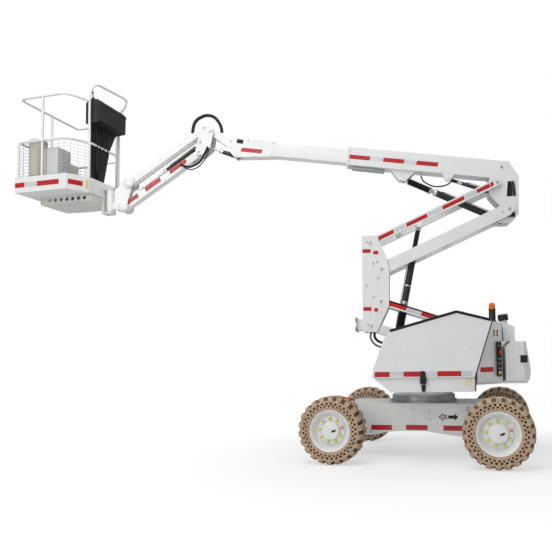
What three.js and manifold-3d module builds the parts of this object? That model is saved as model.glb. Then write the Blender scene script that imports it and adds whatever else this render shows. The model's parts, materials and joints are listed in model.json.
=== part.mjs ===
// Articulating boom lift: a self-propelled work platform on four solid rubber tyres.
// Millimetres, +Z up. Turntable and booms lie along X: basket at -X, counterweight at +X.
// The slew axis is first taken as x = y = 0 on the ground; the finished machine is then
// moved so that the middle of its footprint is the origin.
import * as THREE from 'three';
import { mergeVertices } from 'three/addons/utils/BufferGeometryUtils.js';
import Module from 'manifold-3d';

const wasm = await Module();
wasm.setup();

// ---------------------------------------------------------------- driving dimensions
const GAP = 0.3;                 // between faces that touch
const RUN = 6;                   // between pieces that move past each other
const PIN_GAP = 0.5;             // round a pin, each side

const TYRE_R = 419;
const TYRE_W = 305;
const RIM_SEAT_R = 262;
const WHEELBASE = 2030;
const TRACK_OUT = 2290;          // over the tyres
const SLEW_DEG = -10;            // chassis under the turntable, as it stands
const BASKET_DEG = -10;          // basket on its rotator, as it stands

const FRAME_HALF_W = 430;        // chassis box frame
const FRAME_TOP = 705;
const FRAME_BOTTOM = 275;        // deepest, between the wheels
const FRAME_OVER = 530;          // underside where the frame passes over the axles
const RING_TOP = 800;            // slew ring's top face, under the turntable's drum
const FRAME_WALL = 12;
const DECK_Z = 965;              // underside of the turntable deck
const DECK_T = 30;
const HOOD_OUT = 985;            // hood's outer face, from the middle
const HOOD_IN = 330;             // hood's inner edge, beside the riser
const HOOD_WALL = 5;
const HOOD_BOTTOM = 1062;
const HOOD_FRONT = -667;
const HOOD_REAR = 606;
const TAIL_REAR = 1350;          // counterweight's rearmost face

const LINK_HALF_W = 200;         // outer faces of the riser's twin bars
const BAR_W = 50;                // one bar of a twin link
const MAST_T = 14;               // mast side plates
const MAST_HALF_W = 222;         // over the mast side plates
const PIN_R = 22;
const RISER_CLEAR = 120;         // half the way left between pins for the riser cylinder
const JIB_PIN = 18;
const SMALL_PIN = 16;
const SHAFT_R = 24;              // basket rotator's shaft

const RISER_L = 1550;            // lower links, pin to pin
const RISER_DEG = 18.5;          // their slope, up towards the mast
const UPPER_L = 1913;            // upper links, pin to pin
const UPPER_DEG = 24.2;          // their slope, up towards the end link
const TURRET_LOW = [770, 1248];  // lower link's pin on the turntable
const LOWER_SPREAD = [140, 340]; // from the bottom link's pin to the top link's pin
const MAST_RISE = [155, 780];    // from the lower pin of the lower links to the heavy arm's pin
const UPPER_SPREAD = [-155, 370];

const BOOM_DEG = 7.6;            // boom's slope, up towards the basket
const BOOM_H = 250;
const BOOM_W = 200;
const BOOM_WALL = 9;
const BOOM_FRONT = 2140;         // from the boom's pin to the base tube's mouth
const BOOM_REAR = 115;
const EXT_H = BOOM_H - 60;
const EXT_W = 150;
const EXT_WALL = 8;
const EXT_OUT = 1050;            // how far the extension stands out
const EXT_L = 2000;              // extension tube from its head to its rear end
const HEAD_L = 700;
const HEAD_HALF = 76;            // half the width of the boom's head
const KNUCKLE_OUT = 104;         // over the knuckle's pin heads, from the middle
const PAD_GAP = 0.7;             // extension in the wear pads of the base tube's mouth
const JIB_DEG = 34;
const JIB_L = 1355;

const BASKET_W = 1220;
const BASKET_D = 1015;
const BASKET_FLOOR = 3700;
const TOE_H = 220;
const RAIL_TOP = 5080;
const RAIL_R = 17;

// ---------------------------------------------------------------- materials
function paint(colour, roughness = 0.5, metalness = 0.1) {
  return new THREE.MeshStandardMaterial({ color: colour, roughness, metalness });
}
const WHITE = 0xf1f0ec;
const BLACK = 0x17171a;
const STEEL = 0x8d8f92;
const SAND = 0xb79d78;
const AMBER = 0xd9690f;
const CREAM = 0xe4dcc4;

// ---------------------------------------------------------------- solids
function solid(geometry) {
  const bare = geometry.index ? geometry.toNonIndexed() : geometry.clone();
  bare.deleteAttribute('normal');
  bare.deleteAttribute('uv');
  const merged = mergeVertices(bare, 1e-3);
  return new wasm.Manifold(new wasm.Mesh({
    numProp: 3,
    vertProperties: new Float32Array(merged.attributes.position.array),
    triVerts: new Uint32Array(merged.index.array),
  }));
}

function toGeometry(manifold) {
  const mesh = manifold.getMesh();
  const geometry = new THREE.BufferGeometry();
  geometry.setAttribute('position', new THREE.BufferAttribute(new Float32Array(mesh.vertProperties), 3));
  geometry.setIndex(new THREE.BufferAttribute(new Uint32Array(mesh.triVerts), 1));
  return geometry;
}

function join(...parts) {
  return parts.reduce((whole, part) => whole.add(part));
}

function box(x0, x1, y0, y1, z0, z1) {
  const g = new THREE.BoxGeometry(x1 - x0, y1 - y0, z1 - z0);
  return solid(g.translate((x0 + x1) / 2, (y0 + y1) / 2, (z0 + z1) / 2));
}

// A flat outline in the X-Z plane, given depth from y0 to y1.
function plateXZ(outline, y0, y1) {
  const shape = new THREE.Shape(outline.map(([x, z]) => new THREE.Vector2(x, z)));
  const g = new THREE.ExtrudeGeometry(shape, { depth: y1 - y0, bevelEnabled: false });
  return solid(g.rotateX(Math.PI / 2).translate(0, y1, 0));
}

// A flat outline in the X-Y plane, given depth from z0 to z1.
function plateXY(outline, z0, z1) {
  const shape = new THREE.Shape(outline.map(([x, y]) => new THREE.Vector2(x, y)));
  const g = new THREE.ExtrudeGeometry(shape, { depth: z1 - z0, bevelEnabled: false });
  return solid(g.translate(0, 0, z0));
}

// A flat outline in the Y-Z plane, given depth from x0 to x1.
function plateYZ(outline, x0, x1) {
  const shape = new THREE.Shape(outline.map(([y, z]) => new THREE.Vector2(y, z)));
  const g = new THREE.ExtrudeGeometry(shape, { depth: x1 - x0, bevelEnabled: false });
  return solid(g.rotateZ(Math.PI / 2).rotateY(Math.PI / 2).translate(x0, 0, 0));
}

// A round bar from a to b.
function rod(a, b, r, sides = 10) {
  const from = new THREE.Vector3(...a);
  const to = new THREE.Vector3(...b);
  const along = to.clone().sub(from);
  const g = new THREE.CylinderGeometry(r, r, along.length(), sides);
  g.applyQuaternion(new THREE.Quaternion().setFromUnitVectors(
    new THREE.Vector3(0, 1, 0), along.clone().normalize()));
  return solid(g.translate(...from.add(to).multiplyScalar(0.5).toArray()));
}

// A bar across the machine, at a place in the side view.
function cross(at, y0, y1, r, sides = 10) {
  return rod([at[0], y0, at[1]], [at[0], y1, at[1]], r, sides);
}

// The bore that a pin of radius r turns in.
function bore(at, half, r = PIN_R) {
  const sides = 12;
  return cross(at, -half, half, (r + PIN_GAP) / Math.cos(Math.PI / sides), sides);
}

// A turned piece about a vertical axis; the profile is [radius, height] and closes on itself.
function turned(profile, sides = 32) {
  return solid(new THREE.LatheGeometry(profile.map(([r, z]) => new THREE.Vector2(r, z)), sides)
    .rotateX(Math.PI / 2));
}

function polar(deg) {
  const a = THREE.MathUtils.degToRad(deg);
  return [Math.cos(a), Math.sin(a)];
}

function add2(a, b) {
  return [a[0] + b[0], a[1] + b[1]];
}

// From a, by l along a direction that slopes deg above -X (towards the basket).
function ahead(a, l, deg) {
  const [c, s] = polar(deg);
  return [a[0] - l * c, a[1] + l * s];
}

// From a, by l along a direction that slopes deg above +X (towards the tail).
function astern(a, l, deg) {
  const [c, s] = polar(deg);
  return [a[0] + l * c, a[1] + l * s];
}

// A straight bar between two pins in the side view, with round eyes at both ends.
function link(a, b, depth, y0, y1, eye = depth / 2) {
  const [dx, dz] = [b[0] - a[0], b[1] - a[1]];
  const l = Math.hypot(dx, dz);
  const [nx, nz] = [-dz / l * depth / 2, dx / l * depth / 2];
  const bar = plateXZ([[a[0] + nx, a[1] + nz], [a[0] - nx, a[1] - nz],
    [b[0] - nx, b[1] - nz], [b[0] + nx, b[1] + nz]], y0, y1);
  return join(bar, cross(a, y0, y1, eye, 14), cross(b, y0, y1, eye, 14));
}

// ---------------------------------------------------------------- pins in the side view
const LL_REAR = TURRET_LOW;
const LT_REAR = add2(LL_REAR, LOWER_SPREAD);
const LL_FRONT = ahead(LL_REAR, RISER_L, RISER_DEG);
const LT_FRONT = add2(LL_FRONT, LOWER_SPREAD);
const UL_FRONT = add2(LL_FRONT, MAST_RISE);
const UT_FRONT = add2(UL_FRONT, UPPER_SPREAD);
const UL_REAR = astern(UL_FRONT, UPPER_L, UPPER_DEG);
const UT_REAR = add2(UL_REAR, UPPER_SPREAD);
const BOOM_PIN = add2(UL_REAR, [-80, 600]);
const LIFT_BASE = add2(UL_REAR, [-85, -115]);
const LEVEL_BASE = add2(UL_REAR, [-225, 265]);
const LEVEL_Y = -74;             // level cylinder runs beside the lift cylinder

// A place on the boom: u ahead of the boom's pin, w above its middle line.
function onBoom(u, w) {
  const [c, s] = polar(BOOM_DEG);
  return [BOOM_PIN[0] - u * c + w * s, BOOM_PIN[1] + u * s + w * c];
}
const BOOM_DROP = 28;            // boom's middle line below its pin
const LIFT_EYE = onBoom(1330, -258);
const LEVEL_EYE = onBoom(700, -222);
const TIP = BOOM_FRONT + EXT_OUT + HEAD_L;
const KNUCKLE_PIN = onBoom(TIP + 270, 150);
const TILT_BASE = onBoom(TIP - 150, -165);
const TILT_EYE = add2(KNUCKLE_PIN, [-70, -194]);
const JU_REAR = add2(KNUCKLE_PIN, [-85, 55]);
const JL_REAR = add2(JU_REAR, [-80, -350]);
const JU_FRONT = ahead(JU_REAR, JIB_L, -JIB_DEG);
const JL_FRONT = add2(JU_FRONT, [-80, -350]);
const JIB_CYL_BASE = add2(JL_REAR, [20, 140]);
const JIB_LUG = 85;              // jib cylinder's eye above the lower arm's middle line
const JIB_CYL_EYE = ahead(ahead(JL_REAR, 1110, -JIB_DEG), JIB_LUG, 90 - JIB_DEG);
const ROTATOR_X = JL_FRONT[0] - 225;
const RISER_BASE = ahead(LL_REAR, 1160, RISER_DEG);
const RISER_EYE = add2(astern(UT_FRONT, 729, UPPER_DEG), [12, -58]);   // lugs under the link

// ---------------------------------------------------------------- chassis
function chassisFrame() {
  const end = WHEELBASE / 2 + 90;
  const side = plateXZ([[-end, FRAME_TOP - 45], [-end + 90, FRAME_TOP], [end - 90, FRAME_TOP],
    [end, FRAME_TOP - 45], [end, FRAME_OVER + 30], [end - 30, FRAME_OVER], [905, FRAME_OVER], [860, 400],
    [740, FRAME_BOTTOM], [600, FRAME_BOTTOM], [264, 315], [80, 346], [-260, 342], [-450, 325],
    [-600, FRAME_BOTTOM + 10], [-740, FRAME_BOTTOM + 10], [-860, 400], [-905, FRAME_OVER],
    [-end + 30, FRAME_OVER], [-end, FRAME_OVER + 30]],
    -FRAME_HALF_W, FRAME_HALF_W);
  const inner = FRAME_HALF_W - FRAME_WALL;
  const well = box(-end + 14, end - 14, -inner, inner, FRAME_BOTTOM - 50, FRAME_TOP - FRAME_WALL);
  const ribs = [-560, 0, 560].map((x) => box(x - 8, x + 8, -inner - 2, inner + 2, 500, FRAME_TOP - 6));
  const saddles = [];
  for (const x of [-WHEELBASE / 2, WHEELBASE / 2]) {
    saddles.push(box(x - 70, x + 70, 260, inner + 2, SADDLE_Z, SADDLE_Z + 60));
    saddles.push(box(x - 70, x + 70, -inner - 2, -260, SADDLE_Z, SADDLE_Z + 60));
  }
  const hole = rod([0, 0, FRAME_TOP - 80], [0, 0, FRAME_TOP + 20], HUB_R + 15, 24);
  const rearPass = box(end - 20, end + 5, -230, 230, FRAME_OVER - 5, 605);
  return join(side.subtract(well), ...ribs, ...saddles).subtract(hole).subtract(rearPass);
}
const AXLE_Z = 440;
const AXLE_H = 150;
const KINGPIN_R = 20;
const SADDLE_Z = AXLE_Z + AXLE_H / 2 + GAP;
const HUB_R = 180;               // turntable's centre post, inside the slew ring
const HUB_IN = TRACK_OUT / 2 - TYRE_W - 45;   // inner end of each wheel's hub
const KINGPIN_Y = HUB_IN - 75;

function frontAxle() {
  const x = -WHEELBASE / 2;
  const beam = box(x - 65, x + 65, -KINGPIN_Y + 75, KINGPIN_Y - 75, AXLE_Z - AXLE_H / 2, AXLE_Z + AXLE_H / 2);
  const yokes = [-1, 1].map((k) => box(x - 48, x + 48, k > 0 ? KINGPIN_Y - 84 : -KINGPIN_Y - 45,
    k > 0 ? KINGPIN_Y + 45 : -KINGPIN_Y + 84, AXLE_Z - 118, AXLE_Z + 118)
    .subtract(box(x - 60, x + 60, k > 0 ? KINGPIN_Y - 64 : -KINGPIN_Y - 90,
      k > 0 ? KINGPIN_Y + 90 : -KINGPIN_Y + 64, AXLE_Z - 82, AXLE_Z + 82))
    .subtract(rod([x, k * KINGPIN_Y, AXLE_Z - 130], [x, k * KINGPIN_Y, AXLE_Z + 130],
      KINGPIN_R + PIN_GAP + 0.2, 14)));
  const ram = rod([x - 105, -150, AXLE_Z - 20], [x - 105, 150, AXLE_Z - 20], 36, 16);
  const bracket = box(x - 100, x - 60, -60, 60, AXLE_Z - 50, AXLE_Z + 10);
  return join(beam, ...yokes, bracket, ram).subtract(
    rod([x - 105, -200, AXLE_Z - 20], [x - 105, 200, AXLE_Z - 20], 16, 16));
}

function rearAxle() {
  const x = WHEELBASE / 2;
  const beam = rod([x, -HUB_IN + GAP, TYRE_R], [x, HUB_IN - GAP, TYRE_R], 70, 20);
  const carrier = turned([[0, -170], [120, -150], [165, -60], [165, 60], [120, 150], [0, 170]], 20)
    .rotate([90, 0, 0]).translate([x, 0, TYRE_R]);
  const motor = rod([x - 330, 0, TYRE_R + 30], [x - 130, 0, TYRE_R + 30], 80, 16);
  const pads = [-1, 1].map((k) => box(x - 60, x + 60, k * 330 - 60, k * 330 + 60,
    TYRE_R, AXLE_Z + AXLE_H / 2));
  return join(beam, carrier, motor, ...pads);
}

// Stub axle between the yoke's ears, with the steering arm on its front.
function steerKnuckle(side) {
  const x = -WHEELBASE / 2;
  const y = side * KINGPIN_Y;
  const body = rod([x, y, AXLE_Z - 76], [x, y, AXLE_Z + 76], 46, 20);
  const spindle = rod([x, y, TYRE_R], [x, side * (HUB_IN - GAP), TYRE_R], 55, 20);
  const arm = box(x - 120, x - 40, y - 18, y + 18, AXLE_Z - 74, AXLE_Z - 52);
  const kingpin = rod([x, y, AXLE_Z - 122], [x, y, AXLE_Z + 122], KINGPIN_R, 14);
  return join(body, spindle, arm, kingpin);
}

function tieRod() {
  const x = -WHEELBASE / 2 - 105;
  const y = KINGPIN_Y;
  const z = AXLE_Z - 20;
  const bar = rod([x, -y + 20, z], [x, y - 20, z], 15, 12);
  const ends = [-1, 1].map((k) => box(x - 18, x + 18, k * (y - 10) - 24, k * (y - 10) + 24,
    AXLE_Z - 74 + 22 + RUN, z + 16));
  return join(bar, ...ends);
}

// Wheel pieces are made about their own centre with the outer face at -Y.
function tyre() {
  const w = TYRE_W / 2;
  const wall = [[RIM_SEAT_R, -w + 14], [RIM_SEAT_R + 26, -w], [TYRE_R - 46, -w], [TYRE_R - 8, -w + 22],
    [TYRE_R, -w + 42], [TYRE_R, w - 42], [TYRE_R - 8, w - 22], [TYRE_R - 46, w],
    [RIM_SEAT_R + 26, w], [RIM_SEAT_R, w - 14]];
  return turned([...wall, wall[0]], 28).rotate([90, 0, 0]);
}

// Deep white disc wheel: seat ring with a flange each side, disc and hub inside it.
function rim() {
  const w = TYRE_W / 2 - 14;
  const r = RIM_SEAT_R - GAP;
  const profile = [[0, HUB_IN_LOCAL], [86, HUB_IN_LOCAL], [92, 10], [r - 40, 10], [r - 10, w],
    [r, w], [r, -w], [r - 10, -w], [r - 50, -w + 70], [185, -w + 92],
    [175, -w + 72], [122, -w + 72], [112, -w + 28], [0, -w + 28]];
  return turned(profile.reverse(), 28).rotate([-90, 0, 0]);
}
const HUB_IN_LOCAL = TYRE_W / 2 + 45;

function slewRing() {
  const ring = turned([[330, FRAME_TOP + GAP], [455, FRAME_TOP + GAP], [455, FRAME_TOP + 26],
    [430, FRAME_TOP + 30], [430, RING_TOP - GAP], [330, RING_TOP - GAP], [330, FRAME_TOP + GAP]], 24);
  return ring;
}

// ---------------------------------------------------------------- turntable
const SKIRT_OUT = HOOD_OUT - 25;
const SKIRT_Z = 885;             // passes over the tyres as the turntable slews
const DECK_FRONT = -500;
const TOWER_Y = LINK_HALF_W + RUN;
const TOWER_T = 60;
const FACET_IN = 640;            // rear cowl's inner edge at the tail

// Deck plate in plan, cut back at the rear corners.
function deckOutline(inset) {
  const y = SKIRT_OUT - inset;
  const front = DECK_FRONT + inset;
  return [[front, -y], [600, -y], [980, -FACET_IN + inset], [TAIL_REAR - 60 - inset, -FACET_IN + inset],
    [TAIL_REAR - 60 - inset, FACET_IN - inset], [980, FACET_IN - inset], [600, y], [front, y]];
}

function turntableDeck() {
  const plate = plateXY(deckOutline(0), DECK_Z, DECK_Z + DECK_T);
  const towers = [-1, 1].map((k) => plateXZ([[520, DECK_Z + 10], [1000, DECK_Z + 10], [1000, 1500],
    [LT_REAR[0] + 75, LT_REAR[1] + 60], [LT_REAR[0] - 70, LT_REAR[1] + 60], [LL_REAR[0] - 110, LL_REAR[1] + 30]],
    k > 0 ? TOWER_Y : -TOWER_Y - TOWER_T, k > 0 ? TOWER_Y + TOWER_T : -TOWER_Y));
  const hub = rod([0, 0, FRAME_TOP - 60], [0, 0, DECK_Z + 5], HUB_R, 24).add(rod([0, 0, RING_TOP], [0, 0, DECK_Z + 5], 405, 24));
  const pins = [LL_REAR, LT_REAR].map((p) => cross(p, -TOWER_Y - TOWER_T - 12, TOWER_Y + TOWER_T + 12, PIN_R));
  const brace = box(955, 1000, -TOWER_Y - 5, TOWER_Y + 5, DECK_Z + 10, 1440);
  const skirts = [-1, 1].map((k) => skirt(k));
  return join(plate, ...towers, hub, brace, ...pins, ...skirts);
}

// Fixed lower panels under the hood: one along the side, one across the front that tucks in.
function skirt(side) {
  const [topX, topZ] = [HOOD_FRONT + 27, HOOD_BOTTOM - GAP];
  const [lowX, lowZ] = [-433, SKIRT_Z];
  const outline = [[lowX, lowZ], [592, lowZ], [604, topZ], [topX, topZ]];
  const front = [[topX, topZ], [lowX, lowZ], [lowX + 14, lowZ + 4], [topX + 14, topZ]];
  const across = side > 0 ? [HOOD_IN, SKIRT_OUT - 1] : [-SKIRT_OUT + 1, -HOOD_IN];
  const y0 = side > 0 ? SKIRT_OUT - 8 : -SKIRT_OUT;
  return plateXZ(outline, y0, y0 + 8).add(plateXZ(front, ...across));
}

const HOOD_SIDE = [[HOOD_FRONT, HOOD_BOTTOM], [HOOD_REAR - 22, HOOD_BOTTOM], [HOOD_REAR, 1130],
  [HOOD_REAR + 205, 1752], [387, 1868], [-412, 1651], [-504, 1550], [-640, 1180]];

function shrink(outline, wall) {
  const cx = outline.reduce((s, p) => s + p[0], 0) / outline.length;
  const cz = outline.reduce((s, p) => s + p[1], 0) / outline.length;
  const kx = 1 - wall / 560;
  const kz = 1 - wall / 350;
  return outline.map(([x, z]) => [cx + (x - cx) * kx, cz + (z - cz) * kz]);
}

// Swing-out hood over one side of the turntable: outer side, top and front, open elsewhere.
function hood(side) {
  const shell = plateXZ(HOOD_SIDE, -HOOD_OUT, -HOOD_IN);
  const inside = plateXZ(shrink(HOOD_SIDE, HOOD_WALL), -HOOD_OUT + HOOD_WALL, -HOOD_IN + 10);
  const mouth = box(HOOD_FRONT + 52, HOOD_REAR - 36, -HOOD_OUT + HOOD_WALL, -HOOD_IN + 10, 1040, 1120);
  const half = shell.subtract(inside).subtract(inside.translate([40, 0, -16])).subtract(mouth);
  return side < 0 ? half : half.mirror([0, 1, 0]);
}

const COWL_FRONT = HOOD_REAR + 14;
const COWL_REAR = 975;
const BEACON_Z = 1742;           // cowl's flat top under the beacon
const COWL_OUT = -HOOD_OUT + 8;
const COWL_TAIL = -FACET_IN - 18;

// Fixed cowl that closes the rear corner of the turntable behind the hood.
function rearCowl(side) {
  const plan = [[COWL_FRONT, COWL_OUT], [COWL_REAR, COWL_TAIL], [COWL_REAR, -HOOD_IN - 40],
    [COWL_FRONT, -HOOD_IN - 40]];
  const shell = plateXY(plan, DECK_Z + DECK_T + GAP, 1760);
  const hollow = plateXY([[COWL_FRONT + 6, COWL_OUT + 10], [COWL_REAR - 8, COWL_TAIL + 6],
    [COWL_REAR - 8, -HOOD_IN - 48], [COWL_FRONT + 6, -HOOD_IN - 48]], DECK_Z, 1752);
  const rake = plateXZ([[HOOD_REAR - 60, DECK_Z], [HOOD_REAR + 10, DECK_Z], [HOOD_REAR + 14, 1130],
    [HOOD_REAR + 222, 1760], [HOOD_REAR + 222, 1800], [HOOD_REAR - 60, 1800]], -1100, 0);
  const slope = plateXZ([[700, 1800], [700, 1790], [835, BEACON_Z], [962, BEACON_Z], [1000, 1700], [1000, 1800]], -1100, 0);
  const half = shell.subtract(hollow).subtract(rake).subtract(slope);
  return side < 0 ? half : half.mirror([0, 1, 0]);
}

function counterweight() {
  const side = [[1014, DECK_Z + DECK_T + GAP], [TAIL_REAR - 30, DECK_Z + DECK_T + GAP],
    [TAIL_REAR - 10, 1060], [TAIL_REAR, 1134], [TAIL_REAR - 70, 1494], [1164, 1495], [1100, 1495], [1014, 1420]];
  const body = plateXZ(side, -FACET_IN - 30, FACET_IN + 30);
  const corners = [-1, 1].map((k) => plateXY([[TAIL_REAR - 150, k * 720], [TAIL_REAR + 40, k * 720],
    [TAIL_REAR + 40, k * 500]], 900, 1600));
  return body.subtract(corners[0]).subtract(corners[1]);
}

function fluidTank() {
  const body = plateXZ([[1012, 1495 + GAP], [1160, 1495 + GAP], [1156, 1683], [1074, 1721], [1012, 1700]], -560, -300);
  const neck = rod([1050, -430, 1690], [1040, -430, 1772], 46, 20);
  const cap = rod([1040.3, -430, 1770], [1030, -430, 1852], 62, 20);
  return join(body, neck, cap);
}

function controlBox() {
  const skin = (x) => COWL_OUT + (COWL_TAIL - COWL_OUT) * (x - COWL_FRONT) / (COWL_REAR - COWL_FRONT);
  const plan = [[890, skin(890) - 45], [962, skin(962) - 45], [962, skin(962) - 1], [890, skin(890) - 1]];
  return plateXY(plan, 1060, 1489);
}

function engineBlock() {
  return box(-330, 430, 420, 860, DECK_Z + DECK_T + GAP, 1480);
}

function beacon() {
  const z = BEACON_Z + GAP;
  const base = [[0, z], [60, z], [60, z + 20], [44, z + 34], [44, z + 170], [54, z + 176], [0, z + 176]];
  return {
    base: turned(base, 14),
    lens: turned([[0, z + 176], [44, z + 176], [40, z + 240], [26, z + 262], [0, z + 266]], 14).translate([0, 0, GAP]),
  };
}

// ---------------------------------------------------------------- riser
// Two bars side by side with an eye at each pin, joined by cross tubes at the given shares
// of the length; a cylinder passes between the bars where there is no tube.
function twinLink(a, b, depth, eye, sleeve, ties) {
  const bars = [-1, 1].map((k) => link(a, b, depth,
    k > 0 ? LINK_HALF_W - BAR_W : -LINK_HALF_W, k > 0 ? LINK_HALF_W : -LINK_HALF_W + BAR_W, eye));
  const spots = ties.map((t) => [a[0] + (b[0] - a[0]) * t, a[1] + (b[1] - a[1]) * t]);
  const tubes = spots.map((p) => cross(p, -LINK_HALF_W + 1, LINK_HALF_W - 1, sleeve, 12));
  return join(...bars, ...tubes).subtract(bore(a, LINK_HALF_W + 20)).subtract(bore(b, LINK_HALF_W + 20));
}

// A pin between the bars of a twin link, for a cylinder's eye.
function eyePin(at) {
  const half = LINK_HALF_W - BAR_W + 2;
  return cross(at, -half, half, PIN_R);
}

function lowerLinkBottom() {
  return join(twinLink(LL_REAR, LL_FRONT, 130, 62, 40, [0, 1]), eyePin(RISER_BASE));
}

function lowerLinkTop() {
  return twinLink(LT_REAR, LT_FRONT, 92, 48, 38, [0, 0.45]);
}

function upperLinkBottom() {
  return twinLink(UL_FRONT, UL_REAR, 165, 70, 42, [0.5]);
}

function upperLinkTop() {
  const link = twinLink(UT_FRONT, UT_REAR, 96, 52, 38, [0, 0.22]);
  const lugs = [-1, 1].map((k) => cross(RISER_EYE, k * (LINK_HALF_W - 25) - 25, k * (LINK_HALF_W - 25) + 25, 40, 14));
  return join(link, ...lugs);
}

// Mast: two side plates with a front web, carrying four pins, and a reflector guard in front.
function mast() {
  const x0 = LL_FRONT[0] - 110;
  const low = LL_FRONT[1] - 80;
  const high = UT_FRONT[1] + 95;
  const outline = [[x0, low], [LL_FRONT[0] + 80, low], [LT_FRONT[0] + 100, LT_FRONT[1] - 90],
    [LT_FRONT[0] + 112, LT_FRONT[1] - 20], [UL_FRONT[0] + 105, UL_FRONT[1] - 40],
    [UL_FRONT[0] + 75, UL_FRONT[1] + 165], [UT_FRONT[0] + 122, UT_FRONT[1] + 20],
    [UT_FRONT[0] + 118, high], [x0, high]];
  const plates = [-1, 1].map((k) => plateXZ(outline, k > 0 ? MAST_HALF_W - MAST_T : -MAST_HALF_W,
    k > 0 ? MAST_HALF_W : -MAST_HALF_W + MAST_T));
  const web = box(x0, x0 + 12, -MAST_HALF_W + 2, MAST_HALF_W - 2, low + 10, high - 10);
  const pins = [LL_FRONT, UT_FRONT].map((p) => cross(p, -MAST_HALF_W - 12, MAST_HALF_W + 12, PIN_R));
  for (const p of [LT_FRONT, UL_FRONT]) {
    pins.push(cross(p, -MAST_HALF_W - 12, -RISER_CLEAR, PIN_R), cross(p, RISER_CLEAR, MAST_HALF_W + 12, PIN_R));
  }
  const guard = box(x0 - 96, x0 - 88, -MAST_HALF_W - 12, MAST_HALF_W + 12, low + 8, low + 205);
  const arms = [-1, 1].map((k) => box(x0 - 90, x0 + 5, k * 180 - 6, k * 180 + 6, low + 30, low + 180));
  return join(...plates, web, ...pins, guard, ...arms);
}

// End link: carries the boom's pin and the pins of both upper links, the lift and level cylinders.
function endLink() {
  const [x, z] = UL_REAR;
  const outline = [[x - 150, z - 175], [x + 20, z - 175], [x + 145, z - 60], [x + 155, z + 470], [x + 30, z + 660],
    [x - 140, z + 660], [x - 235, z + 480], [x - 268, z + 290], [x - 240, z + 215], [x - 95, z + 40]];
  const inY = BOOM_W / 2 + RUN;
  const outY = inY + 26;
  const window = plateXZ([[x - 15, z + 185], [x + 120, z + 185], [x + 108, z + 400], [x + 5, z + 400]], -outY - 1, outY + 1);
  const plates = [-1, 1].map((k) => plateXZ(outline, k > 0 ? inY : -outY, k > 0 ? outY : -inY).subtract(window));
  const web = plateXZ([[x + 118, z - 60], [x + 140, z - 60], [x + 148, z + 400], [x + 124, z + 400]], -inY - 2, inY + 2);
  const through = [UL_REAR, UT_REAR].map((p) => cross(p, -LINK_HALF_W - 14, LINK_HALF_W + 14, PIN_R));
  const inner = [BOOM_PIN, LIFT_BASE].map((p) => cross(p, -outY - 12, outY + 12, PIN_R));
  inner.push(cross(LEVEL_BASE, -outY - 12, LEVEL_Y + 30, SMALL_PIN));
  return join(...plates, web, ...through, ...inner);
}

// ---------------------------------------------------------------- cylinders
// Barrel from its base eye towards the rod's eye; the rod slides in it.
function barrel({ base, eye, y, r, length, half, basePin = PIN_R }) {
  const bottom = 45;
  const l = Math.hypot(eye[0] - base[0], eye[1] - base[1]);
  const p = (t) => [base[0] + (eye[0] - base[0]) * t / l, y, base[1] + (eye[1] - base[1]) * t / l];
  const body = join(cross(base, y - half, y + half, Math.max(r, basePin + 12), 14), rod(p(10), p(length), r, 14));
  const chamber = rod(p(bottom), p(length + 20), r * 0.62 + 0.4, 12);
  return body.subtract(chamber).subtract(bore(base, 300, basePin));
}

// Rod with its eye, or with a cross pin where the eye lies between two wide-set plates.
function cylinderRod({ base, eye, y, r, inside, grip, cross: wide = false }) {
  const l = Math.hypot(eye[0] - base[0], eye[1] - base[1]);
  const p = (t) => [base[0] + (eye[0] - base[0]) * t / l, y, base[1] + (eye[1] - base[1]) * t / l];
  const bar = rod(p(inside), p(l - 8), r * 0.62, 12);
  const lobe = Math.min(grip, r * 0.8);
  const head = bar.add(cross(eye, y - lobe, y + lobe, r * 0.85, 14));
  return wide ? head.add(cross(eye, y - grip, y + grip, PIN_R * 0.7, 12)) : head.add(cross(eye, y - grip, y + grip, r * 0.6, 12));
}

// half is half the width of the base eye, grip that of the rod's eye.
const CYLINDERS = {
  riser: { base: RISER_BASE, eye: RISER_EYE, y: 0, r: 46, length: 1120, inside: 400, half: 40,
    grip: LINK_HALF_W - BAR_W - 0.5, cross: true },
  lift: { base: LIFT_BASE, eye: LIFT_EYE, y: 0, r: 44, length: 1010, inside: 300, half: 40, grip: 49.5 },
  level: { base: LEVEL_BASE, eye: LEVEL_EYE, y: LEVEL_Y, r: 24, length: 460, inside: 98, half: 20,
    grip: 18.5, basePin: SMALL_PIN },
  tilt: { base: TILT_BASE, eye: TILT_EYE, y: 0, r: 28, length: 270, inside: 232, half: 24,
    grip: HEAD_HALF + RUN - 0.5, basePin: SMALL_PIN, cross: true },
  jib: { base: JIB_CYL_BASE, eye: JIB_CYL_EYE, y: 0, r: 30, length: 690, inside: 600, half: 26,
    grip: 21.5, basePin: JIB_PIN },
};

// ---------------------------------------------------------------- boom and jib
// A rectangular beam along the boom from u0 to u1, height h about its middle line.
function boomBeam(u0, u1, h, w, drop = BOOM_DROP) {
  const p = [onBoom(u0, -drop + h / 2), onBoom(u1, -drop + h / 2), onBoom(u1, -drop - h / 2), onBoom(u0, -drop - h / 2)];
  return plateXZ(p, -w / 2, w / 2);
}

// Two ears either side of a rod's eye at y, each with a pin head outside.
function ears(outline, y, gapHalf, t, pin, r = PIN_R) {
  const plates = [[y - gapHalf - t, y - gapHalf], [y + gapHalf, y + gapHalf + t]].map((d) => plateXZ(outline, ...d));
  const heads = [[y - gapHalf - t - 6, y - gapHalf - 1], [y + gapHalf + 1, y + gapHalf + t + 6]];
  return join(...plates, ...heads.map((d) => cross(pin, ...d, r)));
}

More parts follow.
